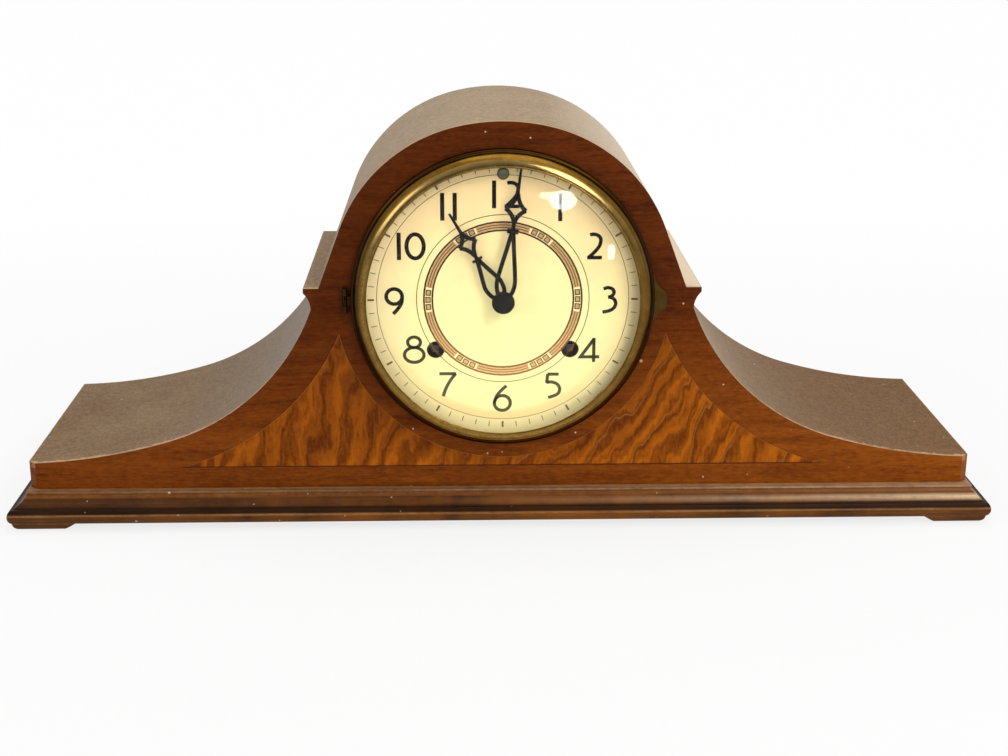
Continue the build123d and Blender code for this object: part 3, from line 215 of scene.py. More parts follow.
def base_finish(name, along):
    """Stained moulding: along is the grain's stretch, small on the axis that it runs along.

    The band, the cove, the ledge and its level top get their colours, which are then laid over
    each other by height. A painted highlight lies in the cove and on the ledge's arris on the right.
    The real cove reaches lower, so the painted shadow in its hollow lies on the band.
    """
    material, shader, place = finish(name)
    across, back, height = place.parts()
    fibres = place.stretched(*along).noise(1.3, 6.0, 0.75)
    patches = place.noise(30.0, 3.0, 0.6)
    dusty = place.noise(6.0, 5.0, 0.8)
    streaks = fibres * 0.5 + dusty * 0.5
    grain = (fibres * 0.75 + patches * 0.35).over(0.54, 0.4)
    right = across.over(90.0, 340.0)
    middle = across.within(-120.0, 190.0, 160.0) * patches.over(0.48, 0.3)

    band = grain.blend(tone(0.038, 0.011, 0.003), tone(0.18, 0.066, 0.017))
    band = (middle * 0.65).blend(band, tone(0.30, 0.096, 0.010))
    band = (right * 0.6).blend(band, grain.blend(tone(0.045, 0.012, 0.003), tone(0.20, 0.075, 0.017)))

    cove = grain.blend(tone(0.018, 0.005, 0.001), tone(0.092, 0.031, 0.007))
    grey = height.within(band_top + 1.15, ledge_foot - 0.5, 1.6) * dusty.over(0.46, 0.4)
    cove = (grey * (0.4 - right * 0.3)).blend(cove, tone(0.12, 0.058, 0.025))
    cove = (middle * 0.75).blend(cove, tone(0.23, 0.070, 0.008))
    # painted highlight: a streaky sheen across the middle of the cove, growing towards the right
    painted_sheen = (dusty * 0.5 + fibres * 0.6).over(0.38, 0.4) * (1 - back.over(board_front, 8.0))
    shine = height.within(band_top + 1.15, ledge_foot - 1.0, 1.6) * right * right * painted_sheen
    cove = shine.blend(cove, tone(0.74, 0.50, 0.29))

    ledge = streaks.over(0.5, 0.4).blend(tone(0.075, 0.020, 0.003), tone(0.26, 0.094, 0.022))
    ledge = (right * right * 0.35).blend(ledge, tone(0.34, 0.15, 0.06))
    top = (fibres * 0.6 + dusty * 0.4).over(0.47, 0.3)
    top = top.blend(tone(0.12, 0.044, 0.013), tone(0.32, 0.175, 0.075))
    top = ((1 - back.over(board_front - 2.6, 1.2)) * 0.7).blend(top, ledge)

    colour = height.over(band_top, 0.2).blend(band, cove)
    colour = height.over(ledge_foot, 0.8).blend(colour, ledge)
    colour = height.over(ledge_top, 0.3).blend(colour, top)
    # painted highlight: a pale line along the ledge's arris, strongest on the right
    lip = height.within(ledge_top - 0.65, ledge_top + 0.25, 0.5) * streaks.over(0.44, 0.25)
    colour = (lip * (right * 0.6 + 0.15)).blend(colour, tone(0.66, 0.46, 0.27))
    # painted shadow: the dark of the cove's hollow, laid over the band's top
    painted_hollow_shadow = height.within(band_top - 2.15, band_top + 0.45, 0.8) * 0.85
    colour = painted_hollow_shadow.blend(colour, tone(0.009, 0.0035, 0.0015))
    nose = height.within(band_top - 3.35, band_top - 2.35, 0.4) * streaks.over(0.46, 0.25)
    colour = (nose * 0.5).blend(colour, tone(0.40, 0.23, 0.10))
    colour = (worn_edge(place, 0.8) * (1 - painted_hollow_shadow) * 0.6).blend(colour, tone(0.40, 0.24, 0.12))
    colour = specks(place, 15.0, 1.3, 0.28).blend(colour, tone(0.90, 0.86, 0.76))
    colour = specks(place, 5.0, 0.6, 0.25).blend(colour, tone(0.42, 0.32, 0.22))
    feed(shader, {
        "Base Color": colour, "Roughness": dusty * 0.25 + 0.28, "Specular IOR Level": 0.06,
        "Normal": (fibres * 0.6 + dusty * 0.4).bump(0.12, 0.5),
    })
    return material


running_across = (0.03, 1.0, 1.0)
running_back = (1.0, 0.03, 1.0)
coat(base_finish("stained_front_moulding", running_across), nodes["front_base_moulding"])
coat(base_finish("stained_side_moulding", running_back),
     nodes["left_base_moulding"], nodes["right_base_moulding"])
coat(base_finish("stained_feet", running_across), nodes["feet"])

# Base board, back board and back door: plain softwood planed and left thin of stain, since they
# face down and to the wall. The door is cut from a board of its own and swings in the arch.


def plain_wood(name, along, pale, dark):
    """Planed softwood: along is the grain's stretch, small on the axis that it runs along."""
    material, shader, place = finish(name)
    drawn = place.stretched(*along)
    across, back, height = drawn.shifted(drawn.noise(30.0).other("Color"), 16.0).parts()
    rings = (across * 0.55 + back * 0.4 + height * 0.3).wave() * 0.5 + 0.5
    fibres = drawn.noise(0.9, 6.0, 0.8)
    pores = drawn.noise(0.45, 2.0, 0.6).over(0.64, 0.1)
    colour = (rings * 0.3 + fibres * 0.9).over(0.6, 0.42).blend(pale, dark)
    colour = (pores * 0.5).blend(colour, tone(0.06, 0.024, 0.010))
    colour = place.noise(60.0, 2.0).over(0.62, 0.3).blend(colour, dark)
    feed(shader, {
        "Base Color": colour, "Roughness": fibres * 0.2 + 0.55, "Specular IOR Level": 0.3,
        "Normal": fibres.bump(0.1, 0.5),
    })
    return material


coat(plain_wood("planed_back", (0.02, 1.0, 0.25), tone(0.24, 0.12, 0.055), tone(0.13, 0.055, 0.022)),
     nodes["back_board"], nodes["base_board"])
coat(plain_wood("planed_door", (0.25, 1.0, 0.02), tone(0.26, 0.13, 0.06), tone(0.14, 0.06, 0.025)),
     nodes["back_door"])

# Case front: a sawn board veneered in red-brown mahogany with the grain lying level, lacquered
# and gone dark. It carries the end blocks, which continue it round the corners.


def mahogany_colour(place):
    """The front veneer's colour and fibres: level grain, paler low down and to the right."""
    across, _, height = place.parts()
    level = place.stretched(0.05, 1.0, 1.0)
    bent = level.shifted(place.stretched(0.3, 1.0, 1.0).noise(24.0, 3.0).other("Color"), 12.0)
    fibres = bent.noise(0.8, 6.0, 0.75)
    bands = bent.noise(6.0, 3.0, 0.55)
    mottle = place.stretched(0.4, 1.0, 1.0).noise(1.6, 4.0, 0.75)
    grain = (fibres * 0.5 + bands * 0.45 + mottle * 0.45).over(0.71, 0.34)
    colour = grain.blend(tone(0.055, 0.009, 0.0006), tone(0.178, 0.037, 0.0024))
    low = 1 - height.over(84.0, 74.0)
    right = across.over(140.0, 340.0)
    left = 1 - across.over(-30.0, 120.0)
    paler = grain.blend(tone(0.120, 0.023, 0.0018), tone(0.330, 0.086, 0.0070))
    palest = grain.blend(tone(0.23, 0.048, 0.003), tone(0.52, 0.145, 0.009))
    colour = (low * 0.62).blend(colour, paler)
    colour = (left * (1 - low) * 0.35).blend(colour, tone(0.040, 0.008, 0.001))
    colour = (low * right * 0.6).blend(colour, palest)
    return colour, fibres


def front_finish():
    material, shader, place = finish("lacquered_mahogany")
    colour, fibres = mahogany_colour(place)
    colour = specks(place, 19.0, 1.1, 0.25).blend(colour, tone(0.62, 0.42, 0.24))
    colour = specks(place, 8.0, 0.7, 0.3).blend(colour, tone(0.66, 0.50, 0.34))
    feed(shader, {
        "Base Color": colour, "Roughness": place.noise(18.0, 4.0) * 0.16 + 0.26,
        "Specular IOR Level": 0.04, "Normal": fibres.bump(0.05, 0.4),
    })
    return material


coat(front_finish(), nodes["front_board"], nodes["left_end_block"], nodes["right_end_block"])

# Inlay: a figured tiger-striped veneer let into the front under the dial, edged with fine pale
# and dark stringing. Its stripes stand upright at the tips and fan out to the right further in.

dial_low, dial_high = (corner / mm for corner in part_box("dial_plate"))
dial_z = (dial_low.z + dial_high.z) / 2
inlay_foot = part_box("inlay_panel")[0].z / mm
fan_middle, fan_half, fan_foot = 45.0, 80.0, 30.0


def from_dial_middle(place):
    """How far a place lies across and above the dial's middle, and its distance from there."""
    across, _, height = place.parts()
    up = height - dial_z
    return across, up, (across * across + up * up) ** 0.5


def inlay_finish():
    material, shader, place = finish("figured_veneer")
    across, _, height = place.parts()
    off = (across - fan_middle) / fan_half
    lean = 0.05 + 0.80 / (1 + off * off)
    line_up = across - (height - fan_foot) * lean
    upright = place.stretched(1.0, 1.0, 0.35)
    drift = upright.noise(24.0, 3.0, 0.55)
    ripple = upright.noise(6.0, 4.0, 0.65)
    phase = line_up * 0.46 + drift * 17.0 + ripple * 2.6
    broad = phase.wave() * 0.5 + 0.5
    narrow = (phase * 2.6 + drift * 9.0 + ripple * 4.0).wave() * 0.5 + 0.5
    strength = place.noise(21.0, 3.0).over(0.5, 0.4)
    fibres = upright.stretched(1.0, 1.0, 0.4).noise(0.8, 5.0, 0.75)
    mottle = place.noise(2.0, 4.0, 0.7)
    stripes = broad * (strength * 0.45 + 0.12) + narrow * (1 - strength) * 0.26
    tint = (stripes + fibres * 0.55 + mottle * 0.45).over(0.85, 0.75)
    low_middle = across.within(-70.0, 80.0, 60.0) * (1 - height.over(40.0, 16.0))
    warm = (across.over(110.0, 220.0) + low_middle * 0.9).held()
    dark = warm.blend(tone(0.110, 0.024, 0.0016), tone(0.190, 0.040, 0.0018))
    light = warm.blend(tone(0.49, 0.122, 0.0050), tone(0.68, 0.185, 0.0055))
    colour = tint.blend(dark, light)
    near = 1 - from_dial_middle(place)[2].over(98.0, 22.0)
    colour = (near * 0.3).blend(colour, tone(0.07, 0.016, 0.002))
    threads = (line_up * 0.23 + drift * 9.0).wave().over(0.994, 0.01) * (strength * 0.7 + 0.2)
    colour = (threads * across.over(-20.0, 160.0) * 0.28).blend(colour, tone(0.66, 0.34, 0.10))
    rim = edge_line(place, 0.8)
    colour = (rim * 0.45).blend(colour, tone(0.44, 0.18, 0.045))
    seam = 1 - height.over(inlay_foot + 0.65, 0.4)
    colour = (seam * 0.85).blend(colour, tone(0.045, 0.010, 0.003))
    colour = specks(place, 24.0, 1.0, 0.2).blend(colour, tone(0.7, 0.5, 0.3))
    feed(shader, {
        "Base Color": colour, "Roughness": fibres * 0.15 + 0.24, "Specular IOR Level": 0.04,
        "Normal": fibres.bump(0.04, 0.35),
    })
    return material


coat(inlay_finish(), nodes["inlay_panel"])

# Roof, wings and shoulder strips: thin sheet bent over the boards, stained and polished once,
# now bleached to taupe with dust and fine specks. Its front edge shows as part of the front.

hump_foot, wing_end = 118.0, 124.0


def roof_finish(name, haze):
    """Thin stained sheet: haze is how far it has bleached.

    The steep parts of the wings carry a painted sheen, grey on the left and tan on the right, and the
    hump has a painted sheen on the right and painted shade on the left. The front arris is worn, and the
    sheet's front edge is veneered.
    """
    material, shader, place = finish(name)
    across, back, height = place.parts()
    weave = place.stretched(1.0, 0.35, 1.0).noise(1.3, 5.0, 0.85)
    cross = place.stretched(0.4, 1.0, 0.4).noise(1.5, 4.0, 0.75)
    cloud = place.noise(38.0, 4.0, 0.6)
    texture = (weave * 0.55 + cross * 0.45).over(0.5, 0.26)
    brown = texture.blend(tone(0.088, 0.046, 0.018), tone(0.26, 0.150, 0.070))
    pale = texture.blend(tone(0.30, 0.215, 0.130), tone(0.56, 0.43, 0.285))
    colour = (cloud.over(0.5, 0.5) * 0.3 + haze).held().blend(brown, pale)
    steep = height.over(66.0, 50.0) * (1 - height.over(wing_end, 6.0))
    on_right = across.over(0.0, 10.0)
    grey = texture.blend(tone(0.17, 0.145, 0.110), tone(0.34, 0.275, 0.205))
    tan = texture.blend(tone(0.28, 0.195, 0.115), tone(0.50, 0.385, 0.235))
    # painted sheen on the steep parts of the wings: grey on the left, tan on the right
    colour = (steep * (1 - on_right) * 0.7).blend(colour, grey)
    colour = (steep * on_right * 0.75).blend(colour, tan)
    on_hump = height.over(hump_foot, 6.0)
    # painted sheen: the hump's right side made pale, as a lamp on the right lights it
    colour = (on_hump * across.over(60.0, 70.0) * 0.8).blend(colour, tone(0.88, 0.74, 0.56))
    # painted shade on the hump's left side
    colour = (on_hump * (1 - across.over(-62.0, 50.0)) * 0.05).blend(colour, tone(0.30, 0.21, 0.12))
    flat_right = across.over(90.0, 20.0) * (1 - height.over(70.0, 70.0))
    umber = texture.blend(tone(0.082, 0.037, 0.012), tone(0.25, 0.126, 0.044))
    colour = (flat_right * 0.85).blend(colour, umber)
    tanned = (1 - back.over(board_front + 8.0, 16.0)) * cloud.over(0.5, 0.3)
    colour = (tanned * 0.25).blend(colour, tone(0.36, 0.20, 0.10))
    colour = specks(place, 9.0, 0.8, 0.3).blend(colour, tone(0.50, 0.42, 0.33))
    colour = specks(place.stretched(1.0, 0.6, 1.0), 27.0, 1.3, 0.25).blend(colour, tone(0.92, 0.88, 0.8))
    ragged = place.noise(2.4, 3.0, 0.6)
    front_arris = 1 - (back + ragged * 9.0).over(board_front + 7.1, 0.7)
    arris = front_arris * (weave * 0.5 + cloud * 0.5).over(0.42, 0.2)
    colour = (arris * 0.85).blend(colour, tone(0.56, 0.36, 0.19))
    colour = (worn_edge(place, 1.3) * 0.8).blend(colour, tone(0.52, 0.34, 0.19))
    front, _ = mahogany_colour(place)
    facing_back = place.node("NewGeometry", {}, {}, "Normal").parts()[1]
    colour = (0 - facing_back).over(0.7, 0.2).blend(colour, front)
    feed(shader, {
        "Base Color": colour, "Roughness": cloud * 0.2 + 0.45, "Specular IOR Level": 0.06,
        "Normal": (weave * 0.5 + cross * 0.5).bump(0.10, 0.6),
    })
    return material


coat(roof_finish("hazed_roof", 0.55), nodes["hump_roof"])
coat(roof_finish("hazed_wings", 0.0), nodes["left_wing"], nodes["right_wing"])
coat(roof_finish("hazed_shoulders", 0.2), nodes["left_shoulder"], nodes["right_shoulder"])

# Back door fittings: two pressed brass hinges and a turn button, fixed with slotted brass
# screws. Brass that nobody polishes has gone dull brown, with a brighter rubbed place or two.


def brass_finish(name, dull, bright, rough):
    """Brass whose stains run from dull to bright."""
    material, shader, place = finish(name)
    stain = place.noise(5.0, 5.0, 0.7)
    fine = place.noise(0.7, 3.0, 0.6)
    colour = (stain * 0.8 + fine * 0.25).over(0.52, 0.45).blend(dull, bright)
    feed(shader, {
        "Base Color": colour, "Metallic": 1.0, "Roughness": stain * 0.22 + rough,
        "Normal": (fine * 0.5 + stain * 0.5).bump(0.03, 0.35),
    })
    return material


def mesh_piece(name, points, faces, material, body, slot=None):
    """A new piece from points in millimetres, which rides on a body; slot is not used."""
    shape = bpy.data.meshes.new(name)
    shape.from_pydata([(x * mm, y * mm, z * mm) for x, y, z in points], [], faces)
    shape.validate()
    shape.update()
    made = bpy.data.objects.new(name, shape)
    bpy.context.scene.collection.objects.link(made)
    coat(material, made)
    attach(made, body)
    return made


def smooth(piece, corner=35.0):
    """Smooth shading, with the edges sharper than corner degrees kept."""
    piece.data.shade_smooth()
    piece.data.set_sharp_from_angle(angle=radians(corner))
    return piece


def rings_joined(rings):
    """Points and faces of a skin over rings of points, each as long as the first, and its ends."""
    count = len(rings[0])
    points = [p for ring in rings for p in ring]
    faces = []
    for k in range(len(rings) - 1):
        for i in range(count):
            j = (i + 1) % count
            faces.append((k * count + i, k * count + j, (k + 1) * count + j, (k + 1) * count + i))
    faces.append(tuple(reversed(range(count))))
    faces.append(tuple(range((len(rings) - 1) * count, len(rings) * count)))
    return points, faces


def gathered(parts):
    """One list of points and faces from several."""
    points, faces = [], []
    for some_points, some_faces in parts:
        start = len(points)
        points += some_points
        faces += [tuple(start + k for k in face) for face in some_faces]
    return points, faces


def spun(profile, centre, sides, outward=(0, -1, 0)):
    """A profile of radius and reach, spun about an axis through centre that points outward."""
    away = Vector(outward)
    level = away.orthogonal().normalized()
    aside = away.cross(level)
    rings = []
    for k in range(sides):
        turn = 2 * pi * k / sides
        spoke = level * cos(turn) + aside * sin(turn)
        rings.append([tuple(Vector(centre) + spoke * radius + away * reach) for radius, reach in profile])
    count = len(profile)
    points = [p for ring in rings for p in ring]
    faces = []
    for k in range(sides):
        ahead = (k + 1) % sides
        for i in range(count - 1):
            faces.append((k * count + i, k * count + i + 1, ahead * count + i + 1, ahead * count + i))
    return points, faces


dull_brass = brass_finish("dull_brass", tone(0.11, 0.062, 0.018), tone(0.34, 0.22, 0.075), 0.3)
coat(dull_brass, nodes["frame_hinge_leaves"], nodes["door_hinge_leaves"], nodes["turn_button"])

screw_radius = 1.7
slot_half = screw_radius * 0.14
head_rise = screw_radius * 0.45
dome_shape = ((1.0, 0.0), (1.0, 0.25), (0.82, 0.7), (0.5, 1.0))
leaf_half_height, leaf_thick, screw_spread = 12.0, 0.8, 7.5


def screw_parts(centre, turn):
    """A slotted round head facing back: two halves of a dome with the slot between them."""
    away = Vector((0, 1, 0))
    level = Vector((cos(turn), 0, sin(turn)))
    aside = away.cross(level)
    start = atan2(slot_half, screw_radius)
    steps = 9
    sweep = [start + (pi - 2 * start) * k / steps for k in range(steps + 1)]
    parts = []
    for side in (-1, 1):
        rings = []
        for share, up in dome_shape:
            reach = sqrt(screw_radius ** 2 - slot_half ** 2) * share
            ring = []
            for angle in sweep:
                along = max(min(cos(angle) * screw_radius * share, reach), -reach)
                across = side * max(sin(angle) * screw_radius * share, slot_half)
                spot = Vector(centre) + level * along + aside * across + away * (head_rise * up)
                ring.append(tuple(spot))
            rings.append(ring if side > 0 else ring[::-1])
        parts.append(rings_joined(rings))
    floor_sides = 20
    floor_radius = screw_radius * 0.97
    floor_rings = []
    for up in (0.0, 0.12):
        turns = [2 * pi * k / floor_sides for k in range(floor_sides)]
        spokes = [(level * cos(t) + aside * sin(t)) * floor_radius for t in turns]
        floor_rings.append([tuple(Vector(centre) + spoke + away * (head_rise * up)) for spoke in spokes])
    parts.append(rings_joined(floor_rings))
    return gathered(parts)


def leaf_screws(name, node, share, body):
    """Two screws on each of the two hinge leaves of a node, a share of the width along."""
    low, high = (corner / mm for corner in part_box(node))
    x = low.x + (high.x - low.x) * share
    middles = (low.z + leaf_half_height, high.z - leaf_half_height)
    heights = [middle + up for middle in middles for up in (-screw_spread, screw_spread)]
    parts = [screw_parts((x, low.y + leaf_thick, z), 0.4 + 1.3 * k) for k, z in enumerate(heights)]
    smooth(mesh_piece(name, *gathered(parts), dull_brass, body, "aged_brass"))


leaf_screws("frame_hinge_screws", "frame_hinge_leaves", 0.72, "case")
leaf_screws("door_hinge_screws", "door_hinge_leaves", 0.28, "door")

# Dial: a tin plate painted cream, printed with upright numerals, a minute track and a ring of
# fine lines broken by little squares. The paint has yellowed, and reddened towards the rim and the
# top, where painted shade from the bezel is laid in the same peach tones.

ink_y = dial_low.y - 0.04
filling_y = dial_low.y - 0.02


def dial_finish():
    material, shader, place = finish("cream_dial_paint")
    across, up, radius = from_dial_middle(place)
    cloud = place.noise(22.0, 4.0, 0.6)
    grime = place.noise(6.0, 5.0, 0.7)
    colour = tone(0.90, 0.81, 0.372)
    # partly reddened paint, partly painted shade from the bezel at the top and rim
    rosy_paint_and_shade = (up * 0.0075 + cloud * 0.9 + radius * 0.005).over(0.72, 0.7)
    colour = (rosy_paint_and_shade * 0.9).blend(colour, tone(0.86, 0.61, 0.30))
    left = 1 - across.over(-62.0, 30.0)
    colour = (left * 0.3).blend(colour, tone(0.90, 0.74, 0.44))
    # partly reddened paint, partly painted shade under the bezel's edge
    rim = (radius + grime * 5.0).over(69.5, 5.0)
    colour = (rim * 0.5).blend(colour, tone(0.80, 0.60, 0.31))
    low = (1 - up.over(-40.0, 40.0)) * (radius + grime * 3.0).within(63.5, 68.5, 3.0)
    colour = (low * 0.5).blend(colour, tone(0.86, 0.55, 0.20))
    shade = (radius + grime * 4.0).over(70.5, 4.0) * across.over(30.0, 40.0)
    colour = (shade * 0.5).blend(colour, tone(0.42, 0.34, 0.19))
    colour = (grime.over(0.66, 0.1) * 0.18).blend(colour, tone(0.62, 0.45, 0.2))
    feed(shader, {
        "Base Color": colour, "Roughness": 0.55, "Specular IOR Level": 0.1,
        "Normal": grime.bump(0.02, 0.3),
    })
    return material


coat(dial_finish(), nodes["dial_plate"])


def ink(name, dark, light, fade):
    """Printing ink: the lower half of the dial has faded towards light."""
    material, shader, place = finish(name)
    height = place.parts()[2]
    worn = place.noise(1.6, 4.0, 0.7)
    low = (1 - height.over(dial_z - 22.0, 46.0)) * fade
    colour = (low + worn.over(0.62, 0.2) * 0.12).held().blend(dark, light)
    feed(shader, {"Base Color": colour, "Roughness": 0.5, "Specular IOR Level": 0.03})
    return material


black_ink = ink("black_ink", tone(0.006, 0.004, 0.002), tone(0.10, 0.082, 0.036), 0.9)
brown_ink = ink("brown_ink", tone(0.032, 0.015, 0.005), tone(0.34, 0.150, 0.050), 0.95)
tan_ink = ink("tan_ink", tone(0.50, 0.29, 0.115), tone(0.80, 0.48, 0.19), 0.9)
track_ink = ink("track_ink", tone(0.10, 0.07, 0.03), tone(0.22, 0.16, 0.06), 0.7)


def line(x1, y1, x2, y2):
    """A straight stroke, in millimetres across and up."""
    return [(x1, y1), (x2, y2)]


def arc(x, y, wide, tall, start, end):
    """An arc of an ellipse, from the start to the end angle in degrees, anticlockwise positive."""
    steps = max(3, ceil(abs(end - start) / 6))
    turns = [radians(start + (end - start) * k / steps) for k in range(steps + 1)]
    return [(x + wide * cos(t), y + tall * sin(t)) for t in turns]


sharpest_mitre = 0.45


def pen(path, width, y, centre=(0.0, 0.0)):
    """A flat stroke of the pen along a path on the dial, as points and faces."""
    spots = [Vector(spot) for spot in path]
    kept = [spot for k, spot in enumerate(spots) if k == 0 or (spot - spots[k - 1]).length > 1e-4]
    closed = (kept[0] - kept[-1]).length < 1e-3
    if closed:
        kept = kept[:-1]
    count = len(kept)
    sides = []
    for k, here in enumerate(kept):
        headings = []
        if closed or k > 0:
            headings.append((here - kept[k - 1]).normalized())
        if closed or k < count - 1:
            headings.append((kept[(k + 1) % count] - here).normalized())
        along = (headings[0] + headings[-1]).normalized()
        normal = along.orthogonal()
        spread = width / 2 / max(sharpest_mitre, along.dot(headings[0]))
        for side in (-1, 1):
            edge = Vector(centre) + here + normal * (spread * side)
            sides.append((edge.x, y, dial_z + edge.y))
    faces = []
    for k in range(count if closed else count - 1):
        ahead = (k + 1) % count
        faces.append((2 * k, 2 * ahead, 2 * ahead + 1, 2 * k + 1))
    return sides, faces


def swung(*spots):
    """A smooth stroke through some places: each run keeps to the curve of its neighbours."""
    path = []
    steps = 8
    ends = [Vector(spot) for spot in (spots[0], *spots, spots[-1])]
    for k in range(len(spots) - 1):
        a, b, c, d = ends[k:k + 4]
        slope, curve, twist = c - a, 2 * a - 5 * b + 4 * c - d, 3 * b - a - 3 * c + d
        for t in (step / steps for step in range(steps)):
            path.append(tuple((2 * b + slope * t + curve * t ** 2 + twist * t ** 3) / 2))
    return path + [spots[-1]]


# Each figure's strokes, in millimetres about its own middle.
digit_strokes = {
    "0": [arc(0, 0, 4.5, 6.4, 90, 450)],
    "1": [line(0, 7.3, 0, -7.3)],
    "2": [arc(-0.7, 3.0, 3.9, 3.2, 118, -12) + swung((3.1, 2.2), (2.3, -0.4), (-0.6, -3.9), (-3.3, -6.3)),
          line(-3.9, -6.3, 3.9, -6.3)],
    "3": [swung((-2.9, 5.7), (-0.6, 6.4), (1.9, 5.6), (2.7, 3.7), (1.6, 1.9), (-0.4, 1.2)),
          swung((-0.2, 1.3), (2.5, 0.4), (3.7, -2.0), (2.9, -4.5), (0.4, -6.2), (-3.2, -6.9))],
    "4": [line(2.2, 6.9, 2.2, -6.5), line(2.2, 6.3, -4.9, -3.6) + line(-4.9, -3.6, 5.2, -3.6)],
    "5": [line(3.1, 6.2, -2.9, 6.2), line(-2.8, 6.2, -3.3, 1.3),
          swung((-3.4, 1.5), (-0.6, 1.8), (2.6, 0.4), (3.7, -2.5), (2.3, -5.2), (-2.4, -7.0))],
    "6": [arc(0, -2.6, 4.3, 4.2, 90, 450), swung((2.2, 7.1), (-0.5, 4.6), (-3.0, 1.4), (-4.3, -2.6))],
    "7": [line(-4.5, 6.0, 4.4, 6.0), swung((4.2, 6.0), (1.6, 2.6), (-0.9, -1.9), (-2.6, -6.7))],
    "8": [arc(0, 3.6, 3.4, 2.9, -90, 270), arc(0, -3.4, 5.2, 4.1, 90, 450)],
    "9": [arc(-0.4, 2.9, 4.2, 4.1, 0, 360), swung((3.8, 2.9), (3.4, -0.6), (1.3, -4.0), (-1.1, -6.6))],
}
numeral_pens = {"0": 2.15, "1": 2.2, "2": 1.95, "3": 1.9, "9": 2.0}
numeral_pen = 1.75
# Where the middle of each figure lies, in millimetres from the dial's middle.
numeral_places = {
    "12": ((-4.7, 56.2), (4.6, 56.2)), "1": ((29.7, 49.3),), "2": ((48.0, 28.8),), "3": ((56.0, -0.2),),
    "4": ((46.4, -28.3),), "5": ((26.9, -47.7),), "6": ((-0.2, -55.0),), "7": ((-29.4, -46.9),),
    "8": ((-47.2, -26.9),), "9": ((-56.9, -1.0),), "10": ((-54.4, 28.9), (-45.9, 28.9)),
    "11": ((-31.6, 49.8), (-25.1, 49.8)),
}
numerals = []
for text, places in numeral_places.items():
    for digit, place in zip(text, places):
        for stroke in digit_strokes[digit]:
            numerals.append(pen(stroke, numeral_pens.get(digit, numeral_pen), ink_y, place))
mesh_piece("dial_numerals", *gathered(numerals), black_ink, "case")

# Inner radius, outer radius and width.
hour_mark = (67.9, 71.4, 1.05)
minute_mark = (68.2, 71.2, 0.42)
track_marks = []
for minute in range(60):
    turn = radians(6 * minute)
    inner, outer, thick = hour_mark if minute % 5 == 0 else minute_mark
    spoke = line(inner * sin(turn), inner * cos(turn), outer * sin(turn), outer * cos(turn))
    track_marks.append(pen(spoke, thick, ink_y))
mesh_piece("dial_minute_marks", *gathered(track_marks), track_ink, "case")

# Lines with a tan filling, broken six times by three little squares.
ring_low, ring_high = 37.3, 41.7
ring_middle = (ring_low + ring_high) / 2
ring_edge_pen, ring_thread_pen, square_pen = 0.95, 0.42, 0.55
thread_off, thread_short = 0.65, 0.6
filling_wide = 3.3
group_half, square_turn = 9.6, 5.6
square_deep, square_wide = 1.15, 1.35
track_circle, numeral_circle = (66.6, 0.3), (45.6, 0.4)
square_corners = ((-1, -1), (1, -1), (1, 1), (-1, 1), (-1, -1))
fills, rules = [], []
for radius, width in (track_circle, numeral_circle, (ring_high, ring_edge_pen), (ring_low, ring_edge_pen)):
    rules.append(pen(arc(0, 0, radius, radius, 0, 360), width, ink_y))
for k in range(6):
    start, end = 60 * k + group_half, 60 * k + 60 - group_half
    fills.append(pen(arc(0, 0, ring_middle, ring_middle, start, end), filling_wide, filling_y))
    for radius in (ring_middle - thread_off, ring_middle + thread_off):
        thread = arc(0, 0, radius, radius, start + thread_short, end - thread_short)
        rules.append(pen(thread, ring_thread_pen, ink_y))
    for step in (-1, 0, 1):
        turn = radians(60 * k + square_turn * step)
        out = Vector((cos(turn), sin(turn)))
        side = out.orthogonal()
        middle, deep, wide = out * ring_middle, out * square_deep, side * square_wide
        rules.append(pen([middle + deep * a + wide * b for a, b in square_corners], square_pen, ink_y))
        fills.append(pen([middle - wide, middle + wide], 2 * square_deep, filling_y))
mesh_piece("dial_ring_ornament", *gathered(rules), brown_ink, "case")
mesh_piece("dial_ring_filling", *gathered(fills), tan_ink, "case")

# Movement: two rolled brass plates on steel pillars, with brass wheels, steel arbors and blued
# springs between them. The brass is clean and cross-brushed, and the steel is ground.


def brushed(name, dark, bright, rough, along):
    """Metal with fine strokes: along is their stretch, small on the axis that they run along."""
    material, shader, place = finish(name)
    strokes = place.stretched(*along).noise(0.5, 4.0, 0.7)
    stain = place.noise(14.0, 4.0, 0.6)
    colour = (strokes * 0.4 + stain * 0.6).over(0.5, 0.6).blend(dark, bright)
    feed(shader, {
        "Base Color": colour, "Metallic": 1.0, "Roughness": strokes * 0.2 + rough,
        "Normal": strokes.bump(0.015, 0.4),
    })
    return material


movement_brass = brushed("movement_brass", tone(0.42, 0.27, 0.09), tone(0.72, 0.51, 0.21),
                         rough=0.22, along=(0.05, 1.0, 1.0))
ground_steel = brushed("ground_steel", tone(0.28, 0.27, 0.26), tone(0.56, 0.55, 0.53),
                       rough=0.22, along=(0.2, 1.0, 0.2))
dark_steel = brushed("dark_steel", tone(0.020, 0.018, 0.013), tone(0.085, 0.075, 0.055),
                     rough=0.42, along=(0.3, 1.0, 1.0))
blued = brushed("blued_spring", tone(0.030, 0.036, 0.060), tone(0.10, 0.12, 0.19),
                rough=0.25, along=(1.0, 0.1, 1.0))
regulator_brass = brass_finish("regulator_brass", tone(0.045, 0.045, 0.022), tone(0.13, 0.13, 0.075), 0.42)
brass_nodes = ("front_plate", "back_plate", "time_great_wheel", "strike_great_wheel", "second_wheel",
               "centre_wheel", "third_wheel", "escape_wheel", "pin_wheel", "warning_wheel", "fly",
               "minute_wheel", "hour_wheel", "cannon_pinion", "suspension_cock", "pendulum_bob",
               "rating_nut")
steel_nodes = ("pillars", "pillar_nuts", "mounting_posts", "time_click", "strike_click", "verge",
               "pendulum_rod", "hammer")
coat(movement_brass, *(nodes[name] for name in brass_nodes))
